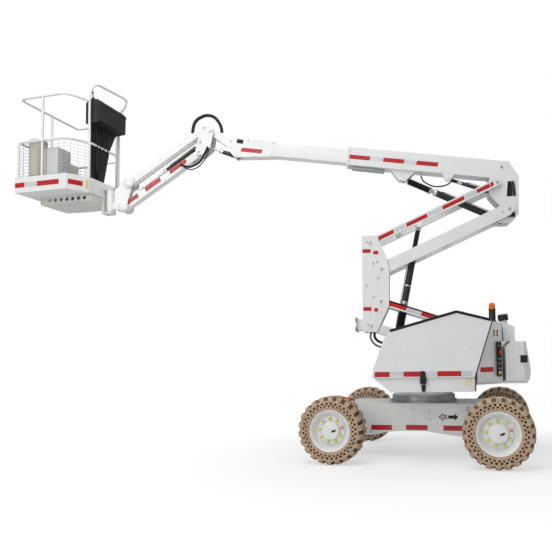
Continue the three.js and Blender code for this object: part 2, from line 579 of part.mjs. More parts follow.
function boomBase() {
  const outside = boomBeam(-BOOM_REAR, BOOM_FRONT - 3, BOOM_H, BOOM_W)
    .add(boomBeam(BOOM_FRONT - 36, BOOM_FRONT, BOOM_H + 12, BOOM_W + 12));
  const inside = boomBeam(-BOOM_REAR + 175, BOOM_FRONT + 50, BOOM_H - 2 * BOOM_WALL, BOOM_W - 2 * BOOM_WALL);
  const bottom = -BOOM_DROP - BOOM_H / 2;
  const lift = ears([onBoom(1160, bottom + 3), onBoom(1520, bottom + 3), onBoom(1380, -300), onBoom(1285, -300)],
    0, 50, 16, LIFT_EYE);
  const level = ears([onBoom(620, bottom + 3), onBoom(790, bottom + 3), onBoom(732, -250), onBoom(672, -250)],
    LEVEL_Y, 19, 8, LEVEL_EYE, SMALL_PIN);
  const pads = boomBeam(BOOM_FRONT - 70, BOOM_FRONT - 6, BOOM_H - 2 * BOOM_WALL + 2, BOOM_W - 2 * BOOM_WALL + 2)
    .subtract(boomBeam(BOOM_FRONT - 90, BOOM_FRONT + 20, EXT_H + 2 * PAD_GAP, EXT_W + 2 * PAD_GAP));
  return join(outside, lift, level).subtract(inside).subtract(bore(BOOM_PIN, 200)).add(pads);
}

function boomExtension() {
  const u0 = BOOM_FRONT + EXT_OUT;
  const tube = boomBeam(u0 - EXT_L, u0 + 10, EXT_H, EXT_W)
    .subtract(boomBeam(u0 - EXT_L - 20, u0 - 5, EXT_H - 2 * EXT_WALL, EXT_W - 2 * EXT_WALL));
  const head = plateXZ([onBoom(u0, 90), onBoom(TIP - 130, 92), onBoom(TIP, 68), onBoom(TIP + 5, -60),
    onBoom(TIP - 118, -184), onBoom(TIP - 150, -200), onBoom(TIP - 182, -184), onBoom(u0, -130)],
    -HEAD_HALF, HEAD_HALF);
  const slot = plateXZ([onBoom(TIP - 230, -300), onBoom(TIP - 230, -110), onBoom(TIP - 60, -80),
    onBoom(TIP + 20, 30), onBoom(TIP + 150, 62), onBoom(TIP + 200, -300)], -36, 36);
  const neck = plateXZ([onBoom(TIP - 10, 66), onBoom(TIP + 180, 150), onBoom(TIP + 250, 200),
    onBoom(TIP + 318, 180), onBoom(TIP + 318, 120), onBoom(TIP + 250, 95), onBoom(TIP - 10, -52)], -58, 58);
  const pin = cross(KNUCKLE_PIN, -KNUCKLE_OUT, KNUCKLE_OUT, PIN_R);
  return join(tube, head, neck).subtract(slot).add(pin).add(cross(TILT_BASE, -HEAD_HALF - 8, HEAD_HALF + 8, SMALL_PIN));
}

// Knuckle held level at the boom's tip; both jib arms pivot on it.
function jibKnuckle() {
  const [x, z] = KNUCKLE_PIN;
  const outline = [[x + 44, z - 30], [x + 30, z + 40], [x - 60, z + 95], [x - 130, z + 85], [x - 215, z - 270],
    [x - 200, z - 345], [x - 120, z - 345], [x + 5, z - 240]];
  const plates = [-1, 1].map((k) => plateXZ(outline, k > 0 ? HEAD_HALF + RUN : -HEAD_HALF - RUN - 14,
    k > 0 ? HEAD_HALF + RUN + 14 : -HEAD_HALF - RUN));
  const pins = [JU_REAR, JL_REAR, JIB_CYL_BASE].map((p) => cross(p, -KNUCKLE_OUT, KNUCKLE_OUT, JIB_PIN));
  return join(...plates, ...pins).subtract(bore(KNUCKLE_PIN, 120));
}

// Upper jib arm: two flat bars joined by a sleeve round each pin.
function jibUpperArm() {
  const bars = [[-60, -38], [38, 60]].map(([y0, y1]) => link(JU_REAR, JU_FRONT, 88, y0, y1));
  const sleeves = [JU_REAR, JU_FRONT].map((p) => cross(p, -39, 39, 32, 14));
  return join(...bars, ...sleeves).subtract(bore(JU_REAR, 150, JIB_PIN)).subtract(bore(JU_FRONT, 150, JIB_PIN));
}

// Lower jib arm: a trough open at the top, in which the jib cylinder lies when the jib is down.
function jibLowerArm() {
  const at = (u, w) => ahead(ahead(JL_REAR, u, -JIB_DEG), w, 90 - JIB_DEG);
  const trough = plateXZ([at(-80, -80), at(170, -80), at(170, -35), at(1240, -35), at(1240, 80), at(-80, 80)], -36, 36);
  const arm = link(JL_REAR, JL_FRONT, 100, -58, 58).subtract(trough)
    .subtract(bore(JL_REAR, 150, JIB_PIN)).subtract(bore(JL_FRONT, 150, JIB_PIN));
  const lug = ears([at(1000, 20), at(1210, 20), at(1140, JIB_LUG + 22), at(1082, JIB_LUG + 22)], 0,
    22, 15, JIB_CYL_EYE, JIB_PIN);
  return arm.add(lug);
}

function jibEndBracket() {
  const [ux, uz] = JU_FRONT;
  const [lx, lz] = JL_FRONT;
  const outline = [[ux + 52, uz - 8], [ux + 30, uz + 44], [ux - 40, uz + 44], [lx - 120, lz + 245], [lx - 120, lz - 40],
    [lx - 30, lz - 62], [lx + 46, lz - 34], [lx + 52, lz + 24]];
  const plates = [-1, 1].map((k) => plateXZ(outline, k > 0 ? 66 : -80, k > 0 ? 80 : -66));
  const web = box(lx - 132, lx - 112, -80, 80, lz - 40, lz + 245);
  const pins = [JU_FRONT, JL_FRONT].map((p) => cross(p, -90, 90, JIB_PIN));
  const stem = rod([ROTATOR_X, 0, lz - 55], [ROTATOR_X, 0, lz + 252], 62, 24);
  const neck = box(ROTATOR_X, lx - 114, -40, 40, lz - 20, lz + 70);
  const hole = rod([ROTATOR_X, 0, lz - 90], [ROTATOR_X, 0, lz + 290], (SHAFT_R + PIN_GAP) / Math.cos(Math.PI / 16), 16);
  return join(...plates, web, ...pins, stem, neck).subtract(hole);
}

// ---------------------------------------------------------------- basket
// Basket pieces are made about the rotator's axis, x = y = 0, facing -X.
const B_REAR = -95;
const B_FRONT = B_REAR - BASKET_D;
const B_HALF = BASKET_W / 2;
const CHAMFER = [170, 260];      // rear corners of the tray, along X and along Y
const MID_RAIL = 4430;
const POST_IN = 28;              // rail's middle line inside the toe board's face

function trayOutline(inset) {
  const y = B_HALF - inset;
  return [[B_FRONT + inset, -y], [B_REAR - CHAMFER[0] - inset / 2, -y], [B_REAR - inset, -y + CHAMFER[1]],
    [B_REAR - inset, y - CHAMFER[1]], [B_REAR - CHAMFER[0] - inset / 2, y], [B_FRONT + inset, y]];
}

function basketFloor() {
  const tray = plateXY(trayOutline(0), BASKET_FLOOR, BASKET_FLOOR + TOE_H);
  return tray.subtract(plateXY(trayOutline(5), BASKET_FLOOR + 40, BASKET_FLOOR + TOE_H + 10));
}

// Under-frame with the yoke that takes the rotator's stem.
function basketFrame(stemLow, stemHigh) {
  const z = BASKET_FLOOR - GAP;
  const deep = 105;
  const channel = box(B_FRONT + 150, B_REAR - 10, -300, 230, z - deep, z)
    .subtract(box(B_FRONT + 100, B_REAR - 22, -288, 218, z - deep + 10, z - 10));
  const holes = [0, 1, 2, 3, 4, 5, 6].map((i) => cross([B_REAR - 120 - i * 98, z - deep / 2], -320, 300, 26, 14));
  const back = join(box(B_REAR + GAP, -72, -70, 70, stemLow - 40, stemHigh + 40),
    box(B_REAR - 12, -72, -70, 70, stemLow - 40, z));
  const ends = [[stemLow - 40, stemLow - RUN / 2], [stemHigh + RUN / 2, stemHigh + 40]]
    .map(([a, b]) => rod([0, 0, a], [0, 0, b], 64, 24).add(box(-80, 0, -55, 55, a, b)));
  const drilled = holes.reduce((body, hole) => body.subtract(hole), channel);
  const shaft = rod([0, 0, stemLow - 20], [0, 0, stemHigh + 20], SHAFT_R, 16);
  return join(drilled, back, ...ends, shaft);
}

// A run of round tube through the given corners.
function tubeRun(points, r = RAIL_R) {
  const bars = points.slice(1).map((p, i) => rod(points[i], p, r, 8));
  const knees = points.slice(1, -1).map((p) => solid(new THREE.SphereGeometry(r, 8, 4).rotateX(Math.PI / 2)
    .translate(...p)));
  return join(...bars, ...knees);
}

const GATE = [B_REAR - 640, B_REAR - 230];   // gateway in the far side, front and rear posts

function basketRails() {
  const n = B_HALF - POST_IN;
  const f = B_FRONT + POST_IN;
  const b = B_REAR - POST_IN;
  const top = RAIL_TOP - RAIL_R;
  const low = BASKET_FLOOR + 40 + GAP;
  const rear = B_REAR - CHAMFER[0] - 20;
  const topRail = tubeRun([[GATE[0], n, top], [f + 60, n, top], [f, n - 60, top], [f, -n + 60, top],
    [f + 60, -n, top], [rear, -n, top], [b, -n + CHAMFER[1], top - 30]]);
  const midRail = tubeRun([[GATE[0], n, MID_RAIL], [f, n, MID_RAIL], [f, -n, MID_RAIL], [rear, -n, MID_RAIL],
    [b, -n + CHAMFER[1], MID_RAIL], [b, n - CHAMFER[1], MID_RAIL], [GATE[1], n, MID_RAIL]]);
  const far = n - CHAMFER[1];
  const hoop = tubeRun([[b, -n + CHAMFER[1], low], [b, -n + CHAMFER[1], top + 90], [b + 60, -n + CHAMFER[1] + 40, top + 240],
    [b + 150, far - 10, top + 240], [b + 120, far, top + 150], [b, far, top + 20], [b, far, low]]);
  const rearRail = tubeRun([[b, far, top - 30], [GATE[1], n, top - 30]]);
  const posts = [[f, -n, MID_RAIL], [f, n, MID_RAIL], [f + 400, -n, top], [f, 30, top],
    [rear, -n, top], [GATE[0], n, top], [GATE[1], n, top - 30]];
  return join(topRail, midRail, hoop, rearRail, ...posts.map(([x, y, z]) => rod([x, y, low], [x, y, z], RAIL_R, 8)));
}

function basketGate() {
  const y = B_HALF - POST_IN;
  const [x0, x1] = [GATE[0] + RAIL_R + PIN_GAP + 14, GATE[1] - RAIL_R - RUN - 14];
  const [z0, z1] = [BASKET_FLOOR + TOE_H + 40, RAIL_TOP - 140];
  const ring = tubeRun([[x0, y, z0], [x1, y, z0], [x1, y, z1], [x0, y, z1], [x0, y, z0]], 14);
  return join(ring, rod([x0, y, (z0 + z1) / 2], [x1, y, (z0 + z1) / 2], 12, 8),
    ...[[x0, z0], [x0, z1]].map(([x, z]) => solid(new THREE.SphereGeometry(14, 8, 5).translate(x, y, z))));
}

// Flat wire-mesh infill between toe board and middle rail.
function meshPanel(x0, x1, y0, y1) {
  return box(x0, x1, y0, y1, BASKET_FLOOR + TOE_H - 30, MID_RAIL - RAIL_R - GAP);
}

// Controls over the rear rail, with a tapering skirt that takes the hoses down to the floor.
function controlConsole() {
  const z = RAIL_TOP;
  const side = [[-212, z - 350], [18, z - 330], [24, z - 60], [-10, z - 18], [-150, z + 8], [-212, z - 60]];
  const top = plateXZ(side, -290, 290);
  const front = B_REAR - POST_IN - RAIL_R - 8;
  const low = BASKET_FLOOR + 40 + GAP;
  const skirt = [[-280, z - 340], [284, z - 340], [150, MID_RAIL + 30], [-20, low], [-270, low]];
  const sheet = plateYZ(skirt, front - 24, front);
  return top.add(sheet);
}

function canister() {
  const z = BASKET_FLOOR + 40 + GAP;
  const p = [[0, z], [108, z], [116, z + 30], [116, z + 700], [122, z + 704], [122, z + 748], [100, z + 762],
    [30, z + 768], [30, z + 792], [0, z + 796]];
  return turned(p, 20);
}

function binBox(w, d, h, wall) {
  const z = BASKET_FLOOR + 40 + GAP;
  return box(0, d, 0, w, z, z + h).subtract(box(wall, d - wall, wall, w - wall, z + wall, z + h + 10));
}

// ---------------------------------------------------------------- assembly
const machine = new THREE.Group();
const chassisTurn = new THREE.Group();
chassisTurn.rotation.z = THREE.MathUtils.degToRad(SLEW_DEG);
const basketTurn = new THREE.Group();
basketTurn.rotation.z = THREE.MathUtils.degToRad(BASKET_DEG);
basketTurn.position.x = ROTATOR_X;
machine.add(chassisTurn, basketTurn);

function place(parent, name, manifold, colour, roughness, metalness) {
  const mesh = new THREE.Mesh(toGeometry(manifold), paint(colour, roughness, metalness));
  mesh.name = name;
  parent.add(mesh);
  return mesh;
}

place(chassisTurn, 'chassis_frame', chassisFrame(), WHITE);
place(chassisTurn, 'front_axle', frontAxle(), BLACK);
place(chassisTurn, 'rear_axle', rearAxle(), BLACK);
place(chassisTurn, 'slew_ring', slewRing(), STEEL, 0.4, 0.7);
place(chassisTurn, 'tie_rod', tieRod(), STEEL, 0.4, 0.7);
for (const [side, name] of [[-1, 'near'], [1, 'far']]) {
  place(chassisTurn, `steer_knuckle_${name}`, steerKnuckle(side), BLACK);
  for (const [x, end] of [[-WHEELBASE / 2, 'front'], [WHEELBASE / 2, 'rear']]) {
    const wheel = new THREE.Group();
    wheel.position.set(x, side * (TRACK_OUT / 2 - TYRE_W / 2), TYRE_R);
    wheel.rotation.z = side > 0 ? Math.PI : 0;
    chassisTurn.add(wheel);
    place(wheel, `tyre_${end}_${name}`, tyre(), SAND, 0.95, 0);
    place(wheel, `rim_${end}_${name}`, rim(), WHITE);
  }
  place(machine, `hood_${name}`, hood(side), WHITE);
  place(machine, `rear_cowl_${name}`, rearCowl(side), WHITE);
}
place(machine, 'turntable', turntableDeck(), WHITE);
place(machine, 'counterweight', counterweight(), WHITE);
place(machine, 'fluid_tank', fluidTank(), WHITE);
place(machine, 'ground_controls', controlBox(), BLACK, 0.6, 0);
place(machine, 'engine', engineBlock(), STEEL, 0.6, 0.5);
const lamp = beacon();
const lampPost = new THREE.Group();
lampPost.position.set(900, -420, 0);
machine.add(lampPost);
place(lampPost, 'beacon_base', lamp.base, BLACK, 0.6, 0);
place(lampPost, 'beacon_lens', lamp.lens, AMBER, 0.3, 0);

place(machine, 'lower_link_bottom', lowerLinkBottom(), WHITE);
place(machine, 'lower_link_top', lowerLinkTop(), WHITE);
place(machine, 'mast', mast(), WHITE);
place(machine, 'upper_link_bottom', upperLinkBottom(), WHITE);
place(machine, 'upper_link_top', upperLinkTop(), WHITE);
place(machine, 'end_link', endLink(), WHITE);
place(machine, 'boom_base', boomBase(), WHITE);
place(machine, 'boom_extension', boomExtension(), WHITE);
place(machine, 'jib_knuckle', jibKnuckle(), WHITE);
place(machine, 'jib_upper_arm', jibUpperArm(), WHITE);
place(machine, 'jib_lower_arm', jibLowerArm(), WHITE);
place(machine, 'jib_end_bracket', jibEndBracket(), WHITE);
for (const [name, c] of Object.entries(CYLINDERS)) {
  place(machine, `${name}_cylinder_barrel`, barrel(c), BLACK, 0.5, 0.3);
  place(machine, `${name}_cylinder_rod`, cylinderRod(c), STEEL, 0.2, 0.9);
}

const stemLow = JL_FRONT[1] - 55;
const stemHigh = JL_FRONT[1] + 252;
place(basketTurn, 'basket_frame', basketFrame(stemLow, stemHigh), CREAM);
place(basketTurn, 'basket_floor', basketFloor(), WHITE);
place(basketTurn, 'basket_rails', basketRails(), WHITE);
place(basketTurn, 'basket_gate', basketGate(), WHITE);
place(basketTurn, 'mesh_panel_near', meshPanel(B_FRONT + 60, B_REAR - CHAMFER[0] - 45, -B_HALF + 8, -B_HALF + 8.3 + 2), STEEL);
place(basketTurn, 'mesh_panel_front', meshPanel(B_FRONT + 8, B_FRONT + 10.3, -B_HALF + 60, B_HALF - 60), STEEL);
place(basketTurn, 'control_console', controlConsole(), BLACK, 0.6, 0);
const can = place(basketTurn, 'canister', canister(), CREAM, 0.6, 0);
can.position.set(B_FRONT + 200, -B_HALF + 200, 0);
const bin = place(basketTurn, 'tool_bin', binBox(300, 260, 560, 6), CREAM, 0.6, 0);
bin.position.set(B_FRONT + 90, -90, 0);
const box2 = place(basketTurn, 'storage_box', binBox(240, 240, 590, 6), WHITE, 0.6, 0);
box2.position.set(B_FRONT + 400, -B_HALF + 90, 0);

// Move the machine so that the middle of its footprint is the origin.
machine.updateMatrixWorld(true);
const reach = new THREE.Box3().setFromObject(machine, true);
const middle = reach.getCenter(new THREE.Vector3());
machine.position.set(-middle.x, -middle.y, 0);
machine.updateMatrixWorld(true);

export default machine;
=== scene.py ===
# Articulating boom lift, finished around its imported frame. Metres, +Z up, basket towards -X,
# counterweight towards +X, and the side the camera sees towards -Y.
import json
import math

import bmesh
import bpy
import numpy as np
from mathutils import Matrix


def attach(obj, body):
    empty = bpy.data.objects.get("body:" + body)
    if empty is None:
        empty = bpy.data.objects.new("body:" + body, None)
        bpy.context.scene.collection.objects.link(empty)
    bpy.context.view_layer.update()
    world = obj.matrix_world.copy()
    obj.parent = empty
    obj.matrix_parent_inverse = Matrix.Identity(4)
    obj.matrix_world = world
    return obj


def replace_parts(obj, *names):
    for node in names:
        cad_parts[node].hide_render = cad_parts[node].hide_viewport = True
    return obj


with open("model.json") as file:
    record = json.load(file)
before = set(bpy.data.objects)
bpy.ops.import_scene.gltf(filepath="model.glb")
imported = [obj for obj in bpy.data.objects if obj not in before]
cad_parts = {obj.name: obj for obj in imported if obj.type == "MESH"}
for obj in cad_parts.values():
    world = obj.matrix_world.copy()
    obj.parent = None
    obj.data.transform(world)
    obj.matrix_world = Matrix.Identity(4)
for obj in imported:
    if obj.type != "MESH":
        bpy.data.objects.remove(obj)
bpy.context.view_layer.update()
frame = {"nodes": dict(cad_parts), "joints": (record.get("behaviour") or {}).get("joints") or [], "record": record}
PIN = {joint["name"]: np.array(joint["pos_m"], float) for joint in frame["joints"] if "pos_m" in joint}
SLEW = float(PIN["slew"][0])
BODY = (SLEW, 0.0, 0.0)


# ---- Camera --------------------------------------------------------------------------------
# An eye-level camera on the near side, a little towards the front of the machine, with a
# mild wide lens. The lens is shifted so that the machine sits where the crop leaves it.
camera_data = bpy.data.cameras.new("camera")
camera_data.sensor_width = 36.0
camera_data.lens = 37.81
camera_data.shift_x = -0.1513
camera_data.shift_y = 0.0838
camera_data.clip_end = 200.0
camera = bpy.data.objects.new("camera", camera_data)
bpy.context.collection.objects.link(camera)
yaw, pitch, roll = math.radians(4.2036), math.radians(3.1513), -0.0148
forward = np.array([-math.sin(yaw) * math.cos(pitch), math.cos(yaw) * math.cos(pitch), math.sin(pitch)])
across = np.array([math.cos(yaw), math.sin(yaw), 0.0])
upward = np.cross(across, forward)
camera_axes = np.eye(4)
camera_axes[:3, 0] = across * math.cos(roll) + upward * math.sin(roll)
camera_axes[:3, 1] = upward * math.cos(roll) - across * math.sin(roll)
camera_axes[:3, 2] = -forward
camera_axes[:3, 3] = (SLEW - 0.2774, -8.1006, 1.3602)
camera.matrix_world = Matrix(camera_axes.tolist())
bpy.context.scene.camera = camera


# ---- Hoses over the jib knuckle ------------------------------------------------------------
# Rubber hydraulic hoses in a braided sleeve leave a clamp on the boom's head, arch over the
# knuckle and go into the jib. A second, thinner pair hangs in a bow under the knuckle.
def put(tree, socket, value):
    """Links a socket to another one's output, or sets it to a plain value."""
    if isinstance(value, bpy.types.NodeSocket):
        tree.links.new(value, socket)
    else:
        socket.default_value = (*value, 1.0) if isinstance(value, tuple) and socket.type == "RGBA" else value


def made(tree, kind, inputs, **settings):
    """New shader node of that kind, with its settings and its inputs by name or number."""
    node = tree.nodes.new("ShaderNode" + kind)
    for name, value in settings.items():
        setattr(node, name, value)
    for name, value in inputs.items():
        put(tree, node.inputs[name], value)
    return node


def nodes_of(material):
    """Node tree and object coordinates of a material, and a call that sets its shader's inputs."""
    material.use_nodes = True
    tree = material.node_tree
    shader = tree.nodes["Principled BSDF"]

    def surface(**inputs):
        for name, value in inputs.items():
            put(tree, shader.inputs[name.replace("_", " ")], value)

    return tree, made(tree, "TexCoord", {}).outputs["Object"], surface


def noise(tree, where, scale, detail=4.0, roughness=0.55):
    """Fractal noise of that scale per metre."""
    inputs = {"Scale": scale, "Detail": detail, "Roughness": roughness, "Vector": where}
    return made(tree, "TexNoise", inputs).outputs["Fac"]


def spread(tree, value, low, high, to_low, to_high):
    """A value brought from one span to another, and held inside it."""
    spans = {"From Min": low, "From Max": high, "To Min": to_low, "To Max": to_high, "Value": value}
    return made(tree, "MapRange", spans).outputs["Result"]


def tinted(tree, amount, first, second):
    """Colour that goes from first to second as amount goes from 0 to 1."""
    node = made(tree, "Mix", {}, data_type="RGBA")
    colours = [socket for socket in node.inputs if socket.type == "RGBA"]
    for socket, colour in zip(colours, (first, second)):
        put(tree, socket, colour)
    put(tree, node.inputs["Factor"], amount)
    return [socket for socket in node.outputs if socket.type == "RGBA"][0]


def raised(tree, height, depth, strength=1.0):
    """Normals of a bump of that depth in metres."""
    return made(tree, "Bump", {"Strength": strength, "Distance": depth, "Height": height}).outputs["Normal"]


def rubber(name, colour, grain=260.0, depth=0.0006):
    """Dull rubber with dust in its pores."""
    material = bpy.data.materials.new(name)
    tree, where, surface = nodes_of(material)
    fine = noise(tree, where, grain)
    broad = noise(tree, where, 9.0, 5.0)
    dusty = tuple(min(1.0, 1.5 * c + 0.004) for c in colour)
    surface(Base_Color=tinted(tree, spread(tree, broad, 0.45, 0.75, 0.0, 1.0), colour, dusty),
            Roughness=spread(tree, fine, 0.2, 0.8, 0.55, 0.85), Normal=raised(tree, fine, depth))
    return material


def finished(name, mesh, body, sharp):
    """Object with smooth faces, and edges sharper than that many degrees kept, riding on a body."""
    mesh.polygons.foreach_set("use_smooth", np.ones(len(mesh.polygons), bool))
    mesh.set_sharp_from_angle(angle=math.radians(sharp))
    piece = bpy.data.objects.new(name, mesh)
    bpy.context.collection.objects.link(piece)
    if body:
        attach(piece, body)
    return piece


def new_piece(name, points, faces, material, body, slot=None):
    """Mesh object from an array of points and an array of faces, riding on a body."""
    mesh = bpy.data.meshes.new(name)
    mesh.from_pydata(np.asarray(points, float).reshape(-1, 3).tolist(), [], [list(f) for f in faces])
    shape = bmesh.new()
    shape.from_mesh(mesh)
    bmesh.ops.recalc_face_normals(shape, faces=shape.faces)
    shape.to_mesh(mesh)
    shape.free()
    mesh.materials.append(material)
    return finished(name, mesh, body, 38)


def net(rows, columns):
    """Quads between neighbouring rows of points, each row a loop."""
    r, c = np.meshgrid(np.arange(rows - 1), np.arange(columns), indexing="ij")
    after = (c + 1) % columns
    low, high = r * columns, (r + 1) * columns
    return np.stack([low + c, low + after, high + after, high + c], -1).reshape(-1, 4)


def capped(rows, columns):
    """Faces of a net of loops with its first and last loop closed."""
    last = (rows - 1) * columns
    ends = [list(range(columns))[::-1], list(range(last, last + columns))]
    return [list(quad) for quad in net(rows, columns)] + ends


def smooth_path(corners, steps=8):
    """Points of a Catmull-Rom curve through the corners: each span is a cubic whose slope at a
    corner is half the step from the corner before to the corner after."""
    p = np.asarray(corners, float)
    p = np.vstack([2 * p[0] - p[1], p, 2 * p[-1] - p[-2]])
    t = np.linspace(0, 1, steps, endpoint=False)[:, None, None]
    a, b, c, d = p[:-3], p[1:-2], p[2:-1], p[3:]
    bend, twist = 2 * a - 5 * b + 4 * c - d, 3 * b - a - 3 * c + d
    spans = 0.5 * (2 * b + (c - a) * t + bend * t ** 2 + twist * t ** 3)
    return np.vstack([spans.transpose(1, 0, 2).reshape(-1, p.shape[1]), p[-2]])


def tube(path, radius, sides=12):
    """Points and faces of a round tube: a circle set square to the path at each of its points,
    with its first spoke turned as little as the path allows, and both ends closed."""
    p = np.asarray(path, float)
    along = np.gradient(p, axis=0)
    along /= np.linalg.norm(along, axis=1, keepdims=True)
    spoke = np.cross(along[0], (0.13, 0.31, 0.94) if abs(along[0][2]) < 0.8 else (1.0, 0.1, 0.0))
    spokes = []
    for direction in along:
        spoke = spoke - direction * (spoke @ direction)
        spoke = spoke / np.linalg.norm(spoke)
        spokes.append(spoke)
    spokes = np.array(spokes)
    other = np.cross(along, spokes)
    turn = np.linspace(0, 2 * math.pi, sides, endpoint=False)[None, :, None]
    width = np.broadcast_to(np.asarray(radius, float), (len(p),))[:, None, None]
    rings = p[:, None] + width * (np.cos(turn) * spokes[:, None] + np.sin(turn) * other[:, None])
    return rings.reshape(-1, 3), capped(len(p), sides)


def together(parts):
    """One list of points and faces from several."""
    points, faces, count = [], [], 0
    for part_points, part_faces in parts:
        points.append(np.asarray(part_points, float).reshape(-1, 3))
        faces += [[int(i) + count for i in face] for face in part_faces]
        count += len(points[-1])
    return np.vstack(points), faces


HOSE_BLACK = rubber("hose_rubber", (0.006, 0.006, 0.0065), 420.0, 0.0005)
JIB_HOSES = {
    "jib_hose_sleeve": (0.046, [(-2.824, -0.045, 4.59), (-2.832, -0.05, 4.66), (-2.867, -0.05, 4.74),
                                (-2.945, -0.05, 4.825), (-3.059, -0.05, 4.85), (-3.179, -0.05, 4.80),
                                (-3.235, -0.05, 4.72), (-3.258, -0.05, 4.60)]),
    "jib_hose_bow": (0.032, [(-3.010, -0.115, 4.36), (-3.042, -0.118, 4.284), (-3.122, -0.12, 4.15),
                             (-3.258, -0.11, 4.085), (-3.349, -0.095, 4.10), (-3.420, -0.078, 4.13)]),
    "jib_hose_thin": (0.016, [(-2.990, -0.13, 4.33), (-3.019, -0.135, 4.22), (-3.110, -0.14, 4.09),
                              (-3.229, -0.12, 4.04), (-3.320, -0.10, 4.06), (-3.389, -0.076, 4.11)]),
}
for hose_name, (hose_width, hose_corners) in JIB_HOSES.items():
    hose_path = smooth_path(hose_corners, 6) + (SLEW, 0.0, 0.0)
    hose = new_piece(hose_name, *tube(hose_path, hose_width / 2, 14), HOSE_BLACK, "jib_knuckle", "")


# ---- Studio --------------------------------------------------------------------------------
# White cove: a pale floor that keeps the machine's shadow, a white surround and large soft
# lamps high on both sides.
FLOOR = 40.0
floor_corners = [(-FLOOR, -FLOOR), (FLOOR, -FLOOR), (FLOOR, FLOOR), (-FLOOR, FLOOR)]
floor = new_piece("studio_floor", [(x, y, -0.001) for x, y in floor_corners], [[0, 1, 2, 3]],
                  bpy.data.materials.new("studio_floor"), None)
tree, where, surface = nodes_of(floor.data.materials[0])
surface(Base_Color=(0.86, 0.86, 0.86), Roughness=0.9)
centred = made(tree, "Mapping", {"Vector": where, "Location": (-SLEW - 0.2, 0.0, 0.0)}).outputs["Vector"]
reach = made(tree, "VectorMath", {0: centred}, operation="LENGTH").outputs["Value"]
seen = made(tree, "LightPath", {}).outputs["Is Camera Ray"]
share = made(tree, "Math", {0: spread(tree, reach, 1.6, 3.4, 0.55, 1.0), 1: seen}, operation="MULTIPLY")
glow = made(tree, "Emission", {"Strength": 1.0}).outputs["Emission"]
matt = tree.nodes["Principled BSDF"].outputs["BSDF"]
blend = made(tree, "MixShader", {0: share.outputs["Value"], 1: matt, 2: glow})
put(tree, tree.nodes["Material Output"].inputs["Surface"], blend.outputs["Shader"])

world = bpy.data.worlds.new("studio")
bpy.context.scene.world = world
world.use_nodes = True
tree = world.node_tree
ambient = tree.nodes["Background"]
put(tree, ambient.inputs["Color"], (0.93, 0.96, 1.0))
put(tree, ambient.inputs["Strength"], 0.38)
white = made(tree, "Background", {"Color": (1.0, 1.0, 1.0), "Strength": 1.0}).outputs["Background"]
seen = made(tree, "LightPath", {}).outputs
either = made(tree, "Math", {0: seen["Is Camera Ray"], 1: seen["Is Transmission Ray"]}, operation="MAXIMUM")
mix = made(tree, "MixShader", {0: either.outputs["Value"], 1: ambient.outputs["Background"], 2: white})
put(tree, tree.nodes["World Output"].inputs["Surface"], mix.outputs["Shader"])

for lamp_name, place, aim, size, watts in (
        ("overhead_lamp", (-1.0, -3.5, 10.0), (0.5, 0.0, 1.5), 8.0, 540.0),
        ("front_lamp", (-6.0, -11.0, 6.0), (0.3, 0.0, 2.4), 7.0, 430.0),
        ("rear_lamp", (8.5, 5.0, 8.0), (1.0, 0.0, 2.0), 6.0, 260.0)):
    lamp_data = bpy.data.lights.new(lamp_name, "AREA")
    lamp_data.size = size
    lamp_data.energy = watts
    lamp = bpy.data.objects.new(lamp_name, lamp_data)
    bpy.context.collection.objects.link(lamp)
    back = np.array(place, float) - np.array(aim, float)
    back /= np.linalg.norm(back)
    side = np.cross((0.0, 0.0, 1.0), back)
    side /= np.linalg.norm(side)
    lamp_axes = np.eye(4)
    lamp_axes[:3, 0], lamp_axes[:3, 1], lamp_axes[:3, 2] = side, np.cross(back, side), back
    lamp_axes[:3, 3] = place
    lamp.matrix_world = Matrix(lamp_axes.tolist())
bpy.context.scene.view_settings.view_transform = "Standard"


# ---- Chassis frame -------------------------------------------------------------------------
# Welded steel box with folded flanges and cross ribs, spray painted white. Road dirt dulls
# its lower edges. Its edges are slightly rounded, as sheared and ground plate is.
def paint(name, colour, roughness=0.34, dirt=0.18):
    """Sprayed paint: faint orange peel, cloudy wear in the gloss, and thin dirt that gathers in
    broad patches and thickens towards the ground."""
    material = bpy.data.materials.new(name)
    tree, where, surface = nodes_of(material)
    cloud = noise(tree, where, 2.3, 6.0, 0.6)
    fine = noise(tree, where, 38.0, 5.0, 0.65)
    peel = noise(tree, where, 190.0, 2.0)
    dull = tuple(c * 0.80 for c in colour)
    grime = tuple(0.55 * c + 0.45 * g for c, g in zip(colour, (0.30, 0.27, 0.22)))
    patchy = tinted(tree, spread(tree, cloud, 0.42, 0.74, 0.0, 0.35), colour, dull)
    height = made(tree, "SeparateXYZ", {"Vector": where}).outputs["Z"]
    low = spread(tree, height, 0.25, 1.3, dirt * 2.4, dirt)
    stain = made(tree, "Math", {0: spread(tree, fine, 0.50, 0.78, 0.0, 1.0), 1: low}, operation="MULTIPLY")
    surface(Base_Color=tinted(tree, stain.outputs["Value"], patchy, grime),
            Roughness=spread(tree, cloud, 0.3, 0.8, roughness - 0.06, roughness + 0.16),
            Coat_Weight=0.25, Coat_Roughness=0.25, Normal=raised(tree, peel, 0.0004))
    return material


def softened(piece, width, segments=2):
    """Rounded edges on a piece."""
    edge = piece.modifiers.new("edge", "BEVEL")
    edge.width = width
    edge.segments = segments
    edge.limit_method = "ANGLE"
    edge.angle_limit = math.radians(32)
    edge.harden_normals = True
    return piece


